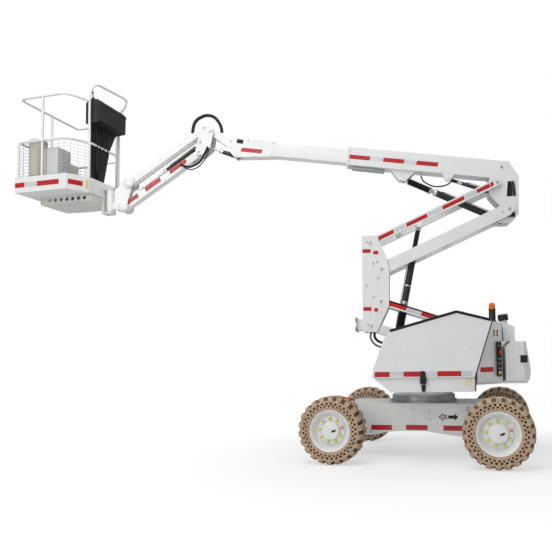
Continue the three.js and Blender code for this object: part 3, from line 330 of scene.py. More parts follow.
def rounded(node, material, width=0.004, segments=2):
    """Copy of a CAD piece with its flat faces joined up and its edges rounded, in its place."""
    mesh = frame["nodes"][node].data.copy()
    shape = bmesh.new()
    shape.from_mesh(mesh)
    bmesh.ops.remove_doubles(shape, verts=shape.verts, dist=1e-5)
    bmesh.ops.dissolve_limit(shape, angle_limit=math.radians(0.6), verts=shape.verts, edges=shape.edges)
    shape.to_mesh(mesh)
    shape.free()
    mesh.materials.clear()
    mesh.materials.append(material)
    piece = finished(node + "_finished", mesh, body_of[node], 32)
    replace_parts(piece, node)
    return softened(piece, width, segments)


def slab(corners, lift=0.0012):
    """Thin prism on a flat polygon: its corners sunk by 0.4 mm and raised by lift along the
    normal of the first three. Counter-clockwise corners face outwards."""
    p = np.asarray(corners, float)
    normal = np.cross(p[1] - p[0], p[2] - p[0])
    normal /= np.linalg.norm(normal)
    n = len(p)
    sides = [[i, (i + 1) % n, n + (i + 1) % n, n + i] for i in range(n)]
    return np.vstack([p - normal * 0.0004, p + normal * lift]), \
        [list(range(n))[::-1], list(range(n, 2 * n))] + sides


def strip(start, end, width, slant=0.0):
    """Corners of a tape of that width from start to end, its ends leaning by slant."""
    a, b = np.array(start, float), np.array(end, float)
    along = (b - a) / np.linalg.norm(b - a)
    up = np.array([-along[1], along[0]]) * width / 2
    lean = along * slant / 2
    return [a - up - lean, b - up - lean, b + up + lean, a + up + lean]


def one_side(outlines, y, s, lift=0.0012):
    """Flat X-Z outlines as slabs on the face at y, looking towards -Y for s = -1 and +Y for s = 1."""
    return together([slab([(x, s * y, z) for x, z in (outline if s < 0 else outline[::-1])], lift)
                     for outline in outlines])


def both_sides(outlines, y, lift=0.0012):
    """Each flat X-Z outline as a slab on the near face and on the far face, y from the middle."""
    return together([one_side(outlines, y, s, lift) for s in (-1, 1)])


def swung(shape, centre, degrees):
    """Shape turned about the upright line through x = centre."""
    points, faces = shape
    turn = math.radians(degrees)
    x, y, z = np.asarray(points, float).T
    return np.stack([centre + x * math.cos(turn) - y * math.sin(turn),
                     x * math.sin(turn) + y * math.cos(turn), z], 1), faces


def moved(shape, by):
    """Shape shifted by a vector."""
    return np.asarray(shape[0], float) + np.asarray(by, float), shape[1]


def spun(profile, sides, origin=(0.0, 0.0, 0.0), axis=(0.0, 0.0, 1.0)):
    """Solid of revolution: each (radius, height) row becomes a ring about the axis, rows of no
    radius are left out, and the first and last ring are closed flat."""
    axis = np.asarray(axis, float) / np.linalg.norm(axis)
    first = np.cross(axis, (1.0, 0.0, 0.0) if abs(axis[0]) < 0.8 else (0.0, 1.0, 0.0))
    first /= np.linalg.norm(first)
    second = np.cross(axis, first)
    turn = np.linspace(0, 2 * math.pi, sides, endpoint=False)[:, None]
    spoke = np.cos(turn) * first + np.sin(turn) * second
    rows = np.asarray(profile, float)
    ringed = rows[(rows[:, 0] > 1e-9)]
    rings = np.asarray(origin, float) + ringed[:, 0, None, None] * spoke + ringed[:, 1, None, None] * axis
    return rings.reshape(-1, 3), capped(len(ringed), sides)


def around(count):
    """That many equal steps of a full turn."""
    return np.linspace(0, 2 * math.pi, count, endpoint=False)


BLOCK_FACES = [[3, 2, 1, 0], [4, 5, 6, 7], [0, 1, 5, 4], [1, 2, 6, 5], [2, 3, 7, 6], [3, 0, 4, 7]]


def block(low, high):
    """Box between two corners."""
    (x0, y0, z0), (x1, y1, z1) = low, high
    points = [(x0, y0, z0), (x1, y0, z0), (x1, y1, z0), (x0, y1, z0),
              (x0, y0, z1), (x1, y0, z1), (x1, y1, z1), (x0, y1, z1)]
    return np.array(points), BLOCK_FACES


def tape(name, colour, metallic):
    """Self-adhesive reflective tape: tiny prism cells, a clear top layer, dust in patches."""
    material = bpy.data.materials.new(name)
    tree, where, surface = nodes_of(material)
    cells = made(tree, "TexVoronoi", {"Scale": 210.0, "Vector": where}).outputs["Distance"]
    broad = noise(tree, where, 5.0, 5.0)
    worn = tuple(0.80 * c + 0.012 for c in colour)
    surface(Base_Color=tinted(tree, spread(tree, broad, 0.45, 0.75, 0.0, 1.0), colour, worn),
            Roughness=spread(tree, broad, 0.3, 0.8, 0.32, 0.50), Metallic=metallic, Coat_Weight=0.15,
            Normal=raised(tree, cells, 0.0003, 0.5))
    return material


def steel(name, colour, roughness, grain=120.0):
    """Bare or plated metal with a fine grain, dulled in clouds."""
    material = bpy.data.materials.new(name)
    tree, where, surface = nodes_of(material)
    cloud = noise(tree, where, 6.0, 6.0, 0.65)
    dull = tuple(0.62 * c for c in colour)
    surface(Base_Color=tinted(tree, spread(tree, cloud, 0.42, 0.72, 0.0, 0.8), colour, dull), Metallic=0.9,
            Roughness=spread(tree, cloud, 0.3, 0.75, roughness - 0.05, roughness + 0.2),
            Normal=raised(tree, noise(tree, where, grain, 3.0), 0.0002))
    return material


def lower(name, shape, material, body="chassis", slot=None):
    """Piece made about the slew axis in line with the chassis, turned with the chassis."""
    return new_piece(name, *swung(shape, SLEW, -10.0), material, body, slot)


def upper(name, shape, material, body, slot=None):
    """Piece made about the slew axis in line with the upper works."""
    return new_piece(name, *moved(shape, BODY), material, body, slot)


body_of = {node: body for body, held in frame["record"]["behaviour"]["bodies"].items() for node in held}
WHITE_PAINT = paint("white_paint", (0.80, 0.80, 0.785))
RED_TAPE = tape("red_tape", (0.50, 0.002, 0.007), 0.0)
SILVER_TAPE = tape("silver_tape", (0.70, 0.71, 0.73), 0.35)
YELLOW_LABEL = paint("yellow_label", (0.78, 0.60, 0.04), 0.45, 0.25)
BLACK_TRIM = rubber("black_trim", (0.005, 0.005, 0.0055), 300.0)
ZINC = steel("zinc", (0.62, 0.61, 0.58), 0.35)
rounded("chassis_frame", WHITE_PAINT, 0.006)
CHASSIS_SIDE = 0.430
chassis_tapes = [strip((x0, z0), (x1, z1), 0.066) for x0, z0, x1, z1 in (
    (-0.650, 0.385, -0.368, 0.385), (-0.180, 0.392, 0.105, 0.392), (0.310, 0.390, 0.565, 0.390))]
lower("chassis_tapes", both_sides(chassis_tapes, CHASSIS_SIDE), RED_TAPE)


def arrow(tail, neck, tip, shaft, head, z=0.532):
    """Outline of an arrow along X, with the half height of its shaft and of its head."""
    return [(tail, z - shaft), (neck, z - shaft), (neck, z - head), (tip, z), (neck, z + head),
            (neck, z + shaft), (tail, z + shaft)]


ARROW_BLACK = arrow(0.375, 0.452, 0.505, 0.020, 0.046)
lower("direction_arrow_black", both_sides([ARROW_BLACK], CHASSIS_SIDE), BLACK_TRIM)
ARROW_OUTER = arrow(0.358, 0.310, 0.248, 0.026, 0.054)[::-1]
ARROW_INNER = arrow(0.352, 0.302, 0.260, 0.018, 0.038)[::-1]
lower("direction_arrow_edge", both_sides([ARROW_OUTER], CHASSIS_SIDE), BLACK_TRIM)
lower("direction_arrow_white", both_sides([ARROW_INNER], CHASSIS_SIDE, 0.0018), WHITE_PAINT)


def bolt_heads(spots, radius, height):
    """Washer-faced hexagon heads; each spot is a place and the way the head faces."""
    heads = []
    for place, facing in spots:
        heads.append(spun([(radius * 1.25, -0.001), (radius * 1.25, height * 0.2)], 12, place, facing))
        heads.append(spun([(radius, 0.0), (radius, height * 0.9), (radius * 0.85, height)], 6, place, facing))
    return together(heads)


def heads_at(spots, y):
    """Bolt places on the near and the far face, y from the middle, from X-Z spots."""
    return [((x, s * y, z), (0, s, 0)) for s in (-1, 1) for x, z in spots]


side_bolts = heads_at([(0.13, 0.60), (0.13, 0.50), (-0.08, 0.64), (0.02, 0.36), (-0.66, 0.33), (0.62, 0.33)],
                      CHASSIS_SIDE)
lower("chassis_bolts", bolt_heads(side_bolts, 0.011, 0.010), ZINC)
hose_clips = [block((x, s * CHASSIS_SIDE - 0.012, 0.600), (x + 0.055, s * CHASSIS_SIDE + 0.012, 0.668))
              for x in (0.60, 0.69) for s in (-1, 1)]
softened(lower("chassis_side_fittings", together(hose_clips), ZINC), 0.004)


# ---- Axles and steering --------------------------------------------------------------------
# Cast and welded axles under the frame, painted black: a steered one at the front with its
# stub axles, steel tie rod and ram, and a driven one with its motor at the rear.
BLACK_PAINT = paint("black_paint", (0.006, 0.006, 0.0065), 0.45, 0.10)
TURNED_STEEL = steel("turned_steel", (0.40, 0.40, 0.41), 0.32)
for shown in ("front_axle", "rear_axle", "steer_knuckle_near", "steer_knuckle_far"):
    rounded(shown, BLACK_PAINT, 0.005)
rounded("tie_rod", TURNED_STEEL, 0.002)
rounded("slew_ring", TURNED_STEEL, 0.003)
ring_turn = around(30)
ring_bolts = [((SLEW + 0.443 * math.cos(a), 0.443 * math.sin(a), 0.731), (0, 0, 1)) for a in ring_turn]
new_piece("slew_ring_bolts", *bolt_heads(ring_bolts, 0.009, 0.010), ZINC, "chassis")
HOSE_RED = rubber("hose_red", (0.42, 0.012, 0.014), 300.0)
steering_paths = [
    [(-1.13, -0.30, 0.60), (-1.10, -0.40, 0.735), (-0.98, -0.46, 0.775), (-0.86, -0.44, 0.72)],
    [(-1.16, -0.20, 0.60), (-1.20, -0.36, 0.74), (-1.10, -0.50, 0.80), (-0.96, -0.50, 0.77)]]
front_hoses = together([tube(smooth_path(path, 6), 0.012, 10) for path in steering_paths])
lower("steering_hoses", front_hoses, HOSE_RED)
fitting = together([block((-1.19, -0.44, 0.70), (-1.08, -0.38, 0.76)),
                    block((-1.00, -0.49, 0.705), (-0.86, -0.45, 0.735))])
softened(lower("steering_valve", fitting, ZINC), 0.006)


# ---- Tyres ---------------------------------------------------------------------------------
# Solid rubber tyres, sandy and non-marking, cast in one piece: 22 staggered lugs a side with
# deep pockets between them, and two rings of 36 spring holes in each wall. The surface is a
# grid of turns by steps along the section, pushed inwards along the section's own normal.
# Pockets and holes are also darkened in the tyre's colour: painted shade for the shadow inside them.
TYRE_R, TYRE_HALF, SEAT_R = 0.419, 0.1525, 0.2615
LUGS, HOLES, TURNS = 22, 36, 576


def tyre_rubber():
    """Sandy rubber mottled tan and pinkish brown, with painted shade: near black where the surface is pushed in.
    """
    material = bpy.data.materials.new("sand_tyre")
    tree, where, surface = nodes_of(material)
    mottled = noise(tree, where, 26.0, 6.0, 0.7)
    broad = noise(tree, where, 7.0, 4.0, 0.6)
    fine = noise(tree, where, 300.0, 4.0, 0.7)
    tan = tinted(tree, spread(tree, mottled, 0.38, 0.64, 0.0, 1.0), (0.56, 0.42, 0.28), (0.30, 0.19, 0.12))
    pink = tinted(tree, spread(tree, broad, 0.48, 0.66, 0.0, 0.7), tan, (0.47, 0.30, 0.22))
    # Painted shade: a per-point mask darkens the lug pockets and spring holes to near black.
    pocket_shade = made(tree, "Attribute", {}, attribute_name="hollow_shade").outputs["Fac"]
    surface(Base_Color=tinted(tree, pocket_shade, pink, (0.030, 0.018, 0.012)),
            Roughness=spread(tree, fine, 0.2, 0.8, 0.72, 0.95), Normal=raised(tree, mottled, 0.0015))
    return material


def tyre_surface():
    """Points, faces and painted shade mask of one tyre about the Y axis. The section runs from the seat up
    the -Y wall, over the tread and down the other wall; depth is the sum of the lug pattern on the
    tread and shoulders and the round holes in the walls. The mask marks the lug pockets and the
    holes, which the colour darkens as painted shade."""
    wall = [(SEAT_R, 0.014), (0.270, 0.004), (0.282, 0.0)]
    wall += [(r, 0.0) for r in np.arange(0.287, 0.3495, 0.0031)]
    wall += [(0.356, 0.0), (0.364, 0.0), (0.372, 0.001), (0.382, 0.004), (0.394, 0.010), (0.404, 0.018),
             (0.412, 0.029), (0.417, 0.042)]
    wall = [(r, inset - TYRE_HALF) for r, inset in wall]
    tread = [(TYRE_R, y) for y in np.linspace(-0.100, 0.100, 15)]
    section = np.array(wall + tread + [(r, -y) for r, y in wall[::-1]])
    slope = np.gradient(section, axis=0)
    normal = np.stack([-slope[:, 1], slope[:, 0]], 1)
    normal /= np.linalg.norm(normal, axis=1, keepdims=True)
    r, y = section[:, :1], section[:, 1:]
    turn = around(TURNS)[None, :]
    side = np.sign(y + 1e-9)
    lug = (turn * LUGS / (2 * math.pi) + 0.5 * (side > 0) + 0.9 * np.abs(y)) % 1.0
    groove = np.clip((np.abs(lug - 0.5) - 0.27) / 0.05, 0, 1)
    reach = np.clip((r - 0.372) / 0.006, 0, 1) * np.clip((np.abs(y) - 0.012) / 0.012, 0, 1)
    # Lug pocket mask: it sets the pockets' depth, and in the colour it is painted shade.
    hollow_shade = groove * reach
    depth = 0.021 * hollow_shade
    for ring, size, offset in ((0.335, 0.0122, 0.0), (0.3055, 0.0102, 0.5)):
        step = 2 * math.pi / HOLES
        along = ((turn / step + offset) % 1.0 - 0.5) * step * ring
        gap = np.hypot(along, r - ring)
        hole = np.clip((size - gap) / 0.0022 + 0.5, 0, 1) * (np.abs(y) > TYRE_HALF - 0.002)
        depth = depth + 0.040 * hole
        # Spring holes join the mask, which the colour turns into painted shade.
        hollow_shade = np.maximum(hollow_shade * 0.9, np.clip(hole * 1.6, 0, 1))
    radius = r - depth * np.abs(normal[:, :1])
    across = y + depth * -side * np.abs(normal[:, 1:])
    points = np.stack([radius * np.cos(turn), across + 0 * turn, radius * np.sin(turn)], -1)
    faces = net(len(section), TURNS)
    seat = np.arange(TURNS)
    last = (len(section) - 1) * TURNS
    closing = np.stack([last + seat, last + (seat + 1) % TURNS, (seat + 1) % TURNS, seat], 1)
    return points.reshape(-1, 3), np.vstack([faces, closing])[:, ::-1], (hollow_shade + 0 * turn).ravel()


def at_wheel(shape, end, name):
    """Shape made about a wheel's centre, outer face at -Y, brought to that wheel."""
    turn = 1.0 if name == "near" else -1.0
    along = -1.015 if end == "front" else 1.015
    return swung((shape[0] * (turn, turn, 1.0) + (along, -0.9925 * turn, TYRE_R), shape[1]), SLEW, -10.0)


SAND_TYRE = tyre_rubber()
tyre_points, tyre_faces, tyre_pocket_shade = tyre_surface()
WHEELS = [(end, name) for end in ("front", "rear") for name in ("near", "far")]
for end, name in WHEELS:
    tyre = new_piece(f"tyre_tread_{end}_{name}", *at_wheel((tyre_points, tyre_faces), end, name),
                     SAND_TYRE, f"wheel_{end}_{name}")
    # Painted shade mask for the pockets and holes, read by the tyre's colour.
    shade = tyre.data.attributes.new("hollow_shade", "FLOAT", "POINT")
    shade.data.foreach_set("value", tyre_pocket_shade.astype(np.float32))
    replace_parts(tyre, f"tyre_{end}_{name}")


# ---- Wheels --------------------------------------------------------------------------------
# Pressed and welded white steel discs, bolted to the hubs by nine studs under yellow-green
# plastic caps, one of them orange. A small slot in the hub's cap takes the tow lever; its dark
# inside is painted shade, a thin black sheet laid on the cap.
RIM_PAINT = paint("rim_paint", (0.78, 0.78, 0.77), 0.30, 0.22)
NUT_YELLOW = paint("nut_cap_yellow", (0.74, 0.68, 0.03), 0.4, 0.08)
NUT_ORANGE = paint("nut_cap_orange", (0.75, 0.22, 0.02), 0.4, 0.15)
rim_profile = [(0.0, 0.1975), (0.086, 0.1975), (0.090, 0.194), (0.092, 0.010), (0.221, 0.010), (0.246, 0.128),
               (0.254, 0.1385), (0.2605, 0.1385), (0.2612, 0.134), (0.2612, -0.134), (0.2605, -0.1400),
               (0.256, -0.1415), (0.251, -0.1385), (0.244, -0.126), (0.232, -0.122), (0.224, -0.100),
               (0.210, -0.074), (0.196, -0.056), (0.184, -0.050), (0.176, -0.064), (0.168, -0.068),
               (0.124, -0.068), (0.117, -0.074), (0.113, -0.100), (0.108, -0.108), (0.098, -0.1115),
               (0.0, -0.1115)]
hub_slot_shade = [(-0.032 * math.cos(a) - 0.0026 * math.sin(a), -0.1135, 0.013 * math.sin(a) - 0.012 * math.cos(a))
            for a in around(18)]
nut_turn = around(9) + 0.25
for end, name in WHEELS:
    body = f"wheel_{end}_{name}"
    disc = spun(rim_profile[::-1], 96, (0, 0, 0), (0, 1, 0))
    disc = new_piece(f"wheel_disc_{end}_{name}", *at_wheel(disc, end, name), RIM_PAINT, body)
    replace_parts(disc, f"rim_{end}_{name}")
    caps = [spun([(0.0185, -0.002), (0.0185, 0.010), (0.014, 0.017), (0.012, 0.028), (0.007, 0.032)], 10,
                 (0.148 * math.cos(a), -0.068, 0.148 * math.sin(a)), (0, -1, 0)) for a in nut_turn]
    new_piece(f"nut_caps_{end}_{name}", *at_wheel(together(caps[1:]), end, name), NUT_YELLOW, body)
    new_piece(f"nut_cap_odd_{end}_{name}", *at_wheel(caps[0], end, name), NUT_ORANGE, body)
    # Painted shade: a thin black sheet on the hub's cap stands for the dark inside of the tow slot.
    slot = slab((np.array(hub_slot_shade) + (0.045, 0.0, -0.004))[::-1])
    new_piece(f"hub_slot_shade_{end}_{name}", *at_wheel(slot, end, name), BLACK_TRIM, body)


# ---- Turntable and covers ------------------------------------------------------------------
# Deck, towers and lower skirts are welded plate; the hoods and rear cowls over them are moulded
# panels with generous edges. Everything is white; the deck's drum sits on the slew ring.
HOOD_Y, SKIRT_Y = 0.985, 0.960
SIDES = (("near", -1.0), ("far", 1.0))
for shown in ("turntable", "counterweight"):
    rounded(shown, WHITE_PAINT, 0.005)
for shown in ("hood_near", "hood_far", "rear_cowl_near", "rear_cowl_far"):
    rounded(shown, WHITE_PAINT, 0.014, 3)


# ---- Hood trim, seams and tapes ------------------------------------------------------------
# A black rubber bead along each hood's top edge, a black gasket in its rear seam, a row of red
# tapes with silver ones between, a two-part rubber draw latch and a blank yellow label.
def panel(x0, x1, z0, z1):
    """Upright rectangle as an X-Z outline."""
    return [(x0, z0), (x1, z0), (x1, z1), (x0, z1)]


hood_edge = [(-0.425, 1.640), (0.385, 1.861), (0.800, 1.752)]
hood_seam = [(0.812, 1.745), (0.613, 1.131), (0.600, 1.066)]
for name, s in SIDES:
    trim_path = [(x, s * (HOOD_Y - 0.004), z) for x, z in hood_edge]
    front_path = [(-0.427, s * y, 1.642) for y in (HOOD_Y - 0.004, 0.70, 0.36)]
    band = one_side([strip(a, b, 0.034) for a, b in zip(hood_edge[:-1], hood_edge[1:])], HOOD_Y, s, 0.0022)
    bead = together([tube(smooth_path(trim_path, 1), 0.0125, 8), tube(front_path, 0.0105, 8), band])
    upper(f"hood_trim_{name}", bead, BLACK_TRIM, f"hood_{name}")
    seam = [(x, s * (HOOD_Y - 0.006), z) for x, z in hood_seam] + [(0.597, s * SKIRT_Y, 0.892)]
    upper(f"hood_gasket_{name}", tube(seam, 0.0085, 8), BLACK_TRIM, "turntable")


ROW = (1.0765, 1.1395)
RED_ROW = [[(-0.628, 1.076), (-0.441, 1.076), (-0.441, 1.139), (-0.622, 1.139)], panel(-0.272, -0.060, *ROW),
           panel(0.138, 0.427, *ROW)]
SILVER_ROW = [panel(-0.438, -0.275, *ROW), panel(-0.057, 0.135, *ROW), panel(0.430, 0.560, *ROW)]
LATCH = [[(-0.072, 0.985), (0.000, 0.985), (0.006, 1.035), (-0.010, 1.140), (-0.058, 1.145), (-0.075, 1.035)]]
LATCH_LOW = [[(-0.052, 0.892), (-0.012, 0.892), (-0.004, 0.975), (-0.058, 0.975)]]
for name, s in SIDES:
    body = f"hood_{name}"
    upper(f"hood_red_tapes_{name}", one_side(RED_ROW, HOOD_Y, s), RED_TAPE, body)
    upper(f"hood_silver_tapes_{name}", one_side(SILVER_ROW, HOOD_Y, s), SILVER_TAPE, body)
    softened(upper(f"hood_latch_{name}", one_side(LATCH, HOOD_Y, s, 0.016), BLACK_TRIM, body), 0.004)
    keeper = one_side(LATCH_LOW, SKIRT_Y, s, 0.020)
    softened(upper(f"hood_latch_keeper_{name}", keeper, BLACK_TRIM, "turntable"), 0.004)
    label = one_side([panel(0.482, 0.545, 0.962, 1.045)], SKIRT_Y, s)
    upper(f"skirt_label_{name}", label, YELLOW_LABEL, "turntable")
    fields = [panel(0.490, 0.537, 1.008, 1.037), panel(0.490, 0.537, 0.970, 0.999)]
    upper(f"skirt_label_fields_{name}", one_side(fields, SKIRT_Y + 0.0010, s), WHITE_PAINT, "turntable")


# ---- Rear cowl fittings --------------------------------------------------------------------
# Tape round the cowl's facet, a black control box with a red stop button and small switches,
# two red and green marker plates, the tank with its ribbed black cap, the beacon.
FACET_A, FACET_B = np.array((0.620, 0.977)), np.array((0.975, 0.658))
facet_way = (FACET_B - FACET_A) / np.linalg.norm(FACET_B - FACET_A)


def on_facet(u0, u1, z0, z1, s, lift=0.0012):
    """Slab on the cowl's slanted face, from u0 to u1 along it and z0 to z1 up it."""
    a, b = FACET_A + facet_way * u0, FACET_A + facet_way * u1
    corners = [(a[0], s * a[1], z0), (b[0], s * b[1], z0), (b[0], s * b[1], z1), (a[0], s * a[1], z1)]
    return slab(corners if s < 0 else corners[::-1], lift)


for name, s in SIDES:
    upper(f"cowl_tape_{name}", on_facet(0.055, 0.300, 1.118, 1.178, s), RED_TAPE, "turntable")
    for colour, z0, z1 in (("green", 1.560, 1.595), ("red", 1.598, 1.640)):
        tags = together([on_facet(u, u + 0.030, z0, z1, s) for u in (0.315, 0.375)])
        tag_paint = RED_TAPE if colour == "red" else paint("tag_green", (0.02, 0.25, 0.05))
        upper(f"cowl_{colour}_tags_{name}", tags, tag_paint, "turntable")
rounded("ground_controls", rubber("black_plastic", (0.007, 0.007, 0.0075), 180.0, 0.0003), 0.006)
panel_out = (-facet_way[1], -facet_way[0], 0.0)
BOX_OUT = 0.046   # how far the box's face stands out of the cowl, towards -Y
box_x, box_y = FACET_A + facet_way * 0.415
button_at = (box_x, -box_y - BOX_OUT, 1.360)
mushroom = [(0.026, 0.012), (0.028, 0.017), (0.026, 0.024), (0.015, 0.028)]
button = together([spun([(0.018, -0.004), (0.018, 0.012)], 20, button_at, panel_out),
                   spun(mushroom, 24, button_at, panel_out)])
upper("stop_button", button, paint("stop_red", (0.60, 0.012, 0.012), 0.35), "turntable")
switch = [(0.008, -0.004), (0.008, 0.006), (0.004, 0.008), (0.003, 0.022)]
switches = [spun(switch, 12, (box_x + dx, -box_y - BOX_OUT + dx * 0.9, z), panel_out)
            for z in (1.44, 1.28, 1.22, 1.16) for dx in (-0.014, 0.012)]
upper("control_switches", together(switches), ZINC, "turntable")
label = moved(on_facet(0.395, 0.440, 1.085, 1.125, -1.0, 0.0018), (0.0, -BOX_OUT, 0.0))
upper("control_label", label, YELLOW_LABEL, "turntable")
rounded("fluid_tank", WHITE_PAINT, 0.006)
cap_rows = [(0.061, -0.002), (0.0665, 0.004), (0.0665, 0.070), (0.060, 0.082), (0.044, 0.086)]
cap_points, cap_faces = spun(cap_rows, 96, (1.040, -0.430, 1.7705), (-0.010, 0.0, 0.082))
cap_shape = cap_points.reshape(5, 96, 3)
cap_mid = cap_shape.mean(1, keepdims=True)
ribbed = (1.0 - 0.035 * (np.sin(24 * around(96)) > 0))[None, :, None]
upper("tank_cap", (cap_mid + (cap_shape - cap_mid) * ribbed, cap_faces), BLACK_TRIM, "turntable")
plate = [panel(1.195, 1.285, 1.225, 1.318)]
softened(upper("counterweight_plate", both_sides(plate, 0.671, 0.012), BLACK_TRIM, "turntable"), 0.006, 3)
rounded("engine", steel("engine_grey", (0.16, 0.16, 0.165), 0.5), 0.012)
rounded("beacon_base", BLACK_PAINT, 0.003)
amber = bpy.data.materials.new("amber_lens")
tree, where, surface = nodes_of(amber)
grime = noise(tree, where, 20.0, 5.0)
ribs = made(tree, "TexWave", {"Scale": 60.0, "Vector": where}, bands_direction="Z").outputs["Fac"]
soiled = spread(tree, grime, 0.4, 0.8, 0.0, 1.0)
surface(Base_Color=tinted(tree, soiled, (0.95, 0.20, 0.004), (0.70, 0.14, 0.005)),
        Roughness=spread(tree, grime, 0.3, 0.8, 0.12, 0.3), Transmission_Weight=0.25,
        Normal=raised(tree, ribs, 0.0015))
rounded("beacon_lens", amber, 0.003)


# ---- Riser and mast ------------------------------------------------------------------------
# Twin box links, white, with an upright mast of two side plates between the lower and upper
# pairs. Reflectors on a guard in front, tapes on the links and the mast's edges.
for shown in ("lower_link_bottom", "lower_link_top", "mast", "upper_link_bottom", "upper_link_top",
              "end_link"):
    rounded(shown, WHITE_PAINT, 0.006)
MAST_Y, LINK_Y = 0.222, 0.200
mast_tapes = [panel(-0.800, -0.690, 2.746, 2.798), panel(-0.655, -0.585, 2.725, 2.771),
              panel(-0.800, -0.690, 1.949, 2.001), panel(-0.655, -0.600, 1.937, 1.983)]
upper("mast_tapes", both_sides(mast_tapes, MAST_Y), RED_TAPE, "mast")
LINK_AT = {   # front and rear pin (x, z) of each link: lower or upper, top or bottom (L)
    "LT": ((-0.560, 2.0798), (0.910, 1.588)), "UT": ((-0.6999, 2.8898), (1.045, 3.674)),
    "LL": ((-0.6999, 1.7398), (0.770, 1.248)), "UL": ((-0.5449, 2.5198), (1.200, 3.304))}
mast_bolts = heads_at([(-0.745, 2.90), (-0.60, 2.62), (-0.66, 2.60), (-0.60, 2.40), (-0.66, 2.14),
                       (-0.74, 1.76), (-0.755, 2.30)], MAST_Y)
upper("mast_bolts", bolt_heads(mast_bolts, 0.012, 0.010), ZINC, "mast")
pin_heads = heads_at([LINK_AT[key][0] for key in ("LT", "UL", "LL", "UT")], MAST_Y + 0.011)
upper("mast_pin_bolts", bolt_heads(pin_heads, 0.014, 0.010), ZINC, "mast")
reflectors = [block((-0.913, y - 0.045, z - 0.04), (-0.906, y + 0.045, z + 0.04))
              for y in (-0.175, 0.175) for z in (1.71, 1.83)]
reflectors += [slab([(x, -0.2345, z) for x, z in panel(-0.905, -0.893, z0 - 0.03, z0 + 0.03)], 0.003)
               for z0 in (1.70, 1.82)]
softened(upper("guard_reflectors", together(reflectors), RED_TAPE, "mast"), 0.002)
mast_hose = smooth_path([(-0.60, -0.12, 1.74), (-0.66, -0.13, 1.62), (-0.60, -0.12, 1.53),
                         (-0.44, -0.10, 1.50), (-0.30, -0.08, 1.56)], 7)
upper("riser_hose_black", tube(mast_hose, 0.019, 10), HOSE_BLACK, "lower_link_bottom")
mast_hose = smooth_path([(-0.63, -0.05, 1.76), (-0.72, -0.05, 1.61), (-0.64, -0.05, 1.48),
                         (-0.46, -0.05, 1.45), (-0.30, -0.05, 1.52)], 7)
upper("riser_hose_grey", tube(mast_hose, 0.015, 10), rubber("hose_grey", (0.19, 0.19, 0.195), 300.0),
      "lower_link_bottom")


def along(a, b, spans, width, drop=0.0):
    """Tapes along the line from a to b, one for each pair of shares of its length."""
    way = np.array(b) - a
    start = a + np.array((-way[1], way[0])) / np.linalg.norm(way) * drop
    return [strip(start + way * t0, start + way * t1, width, width * 0.2) for t0, t1 in spans]


def taped(name, a, b, width, y, body, red, silver, drop=0.0):
    """Red and silver tapes along the line from a to b, on both faces of a body."""
    upper(f"{name}_red_tapes", both_sides(along(a, b, red, width, drop), y), RED_TAPE, body)
    upper(f"{name}_silver_tapes", both_sides(along(a, b, silver, width, drop), y), SILVER_TAPE, body)


taped("lower_top", *LINK_AT["LT"], 0.050, LINK_Y, "lower_link_top", [(0.070, 0.235), (0.37, 0.55)],
      [(0.240, 0.365)])
taped("upper_top", *LINK_AT["UT"], 0.052, LINK_Y, "upper_link_top",
      [(0.045, 0.190), (0.290, 0.455), (0.575, 0.745), (0.845, 0.975)],
      [(0.195, 0.285), (0.460, 0.570), (0.750, 0.840)])
for body, key, lift in (("lower_link_bottom", "LL", 0.03), ("lower_link_top", "LT", 0.03),
                        ("upper_link_bottom", "UL", -0.04), ("upper_link_top", "UT", -0.04)):
    x, z = LINK_AT[key][1]
    upper(f"{body}_plugs", bolt_heads(heads_at([(x - 0.09, z + lift)], LINK_Y), 0.011, 0.009), ZINC, body)
tower_heads = heads_at([LINK_AT["LL"][1], LINK_AT["LT"][1]], 0.2775)
upper("tower_pin_bolts", bolt_heads(tower_heads, 0.014, 0.010), ZINC, "turntable")
BOOM_PIN, LIFT_BASE = (1.120, 3.904), (1.115, 3.189)
end_heads = heads_at([LINK_AT["UL"][1], LINK_AT["UT"][1]], 0.2135) + heads_at([BOOM_PIN, LIFT_BASE], 0.1435)
upper("end_link_pin_bolts", bolt_heads(end_heads, 0.014, 0.010), ZINC, "end_link")
sensor = together([block((1.190, y, 3.203), (1.290, y + 0.0195, 3.262)) for y in (-0.1475, 0.128)])
softened(upper("end_link_sensor", sensor, BLACK_TRIM, "end_link"), 0.006, 3)
for name, s in SIDES:
    bundle = [tube(smooth_path([(1.195 + 0.028 * i, s * (0.09 + 0.01 * i), 3.46),
                                (1.20 + 0.03 * i, s * 0.095, 3.60), (1.185 + 0.03 * i, s * 0.09, 3.74)], 5),
                   0.013, 8) for i in range(4)]
    upper(f"end_link_hoses_{name}", together(bundle), HOSE_BLACK, "end_link")


# ---- Cylinders -----------------------------------------------------------------------------
# Black painted barrels with a steel gland at the mouth. The long rods slide in pleated rubber
# boots; the jib's and the knuckle's rods are bare chrome. Round stock, so remade smooth.
CHROME = steel("chrome_rod", (0.72, 0.72, 0.73), 0.12, 60.0)
GLAND = steel("gland_steel", (0.66, 0.66, 0.66), 0.22)
CYLINDERS = {   # base and rod eye (x, z), y, bore radius, barrel length, boot from and to
    "riser": ((-0.330, 1.616), (-0.023, 3.131), 0.0, 0.046, 1.120, None),
    "lift": (LIFT_BASE, (-0.232, 3.824), 0.0, 0.044, 1.010, (1.075, 1.400)),
    "level": ((0.975, 3.569), (0.397, 3.777), -0.074, 0.024, 0.460, (0.480, 0.565)),
    "tilt": ((-2.609, 4.235), (-3.054, 4.409), 0.0, 0.028, 0.270, None),
    "jib": ((-3.129, 4.448), (-4.116, 3.758), 0.0, 0.030, 0.690, None),
}


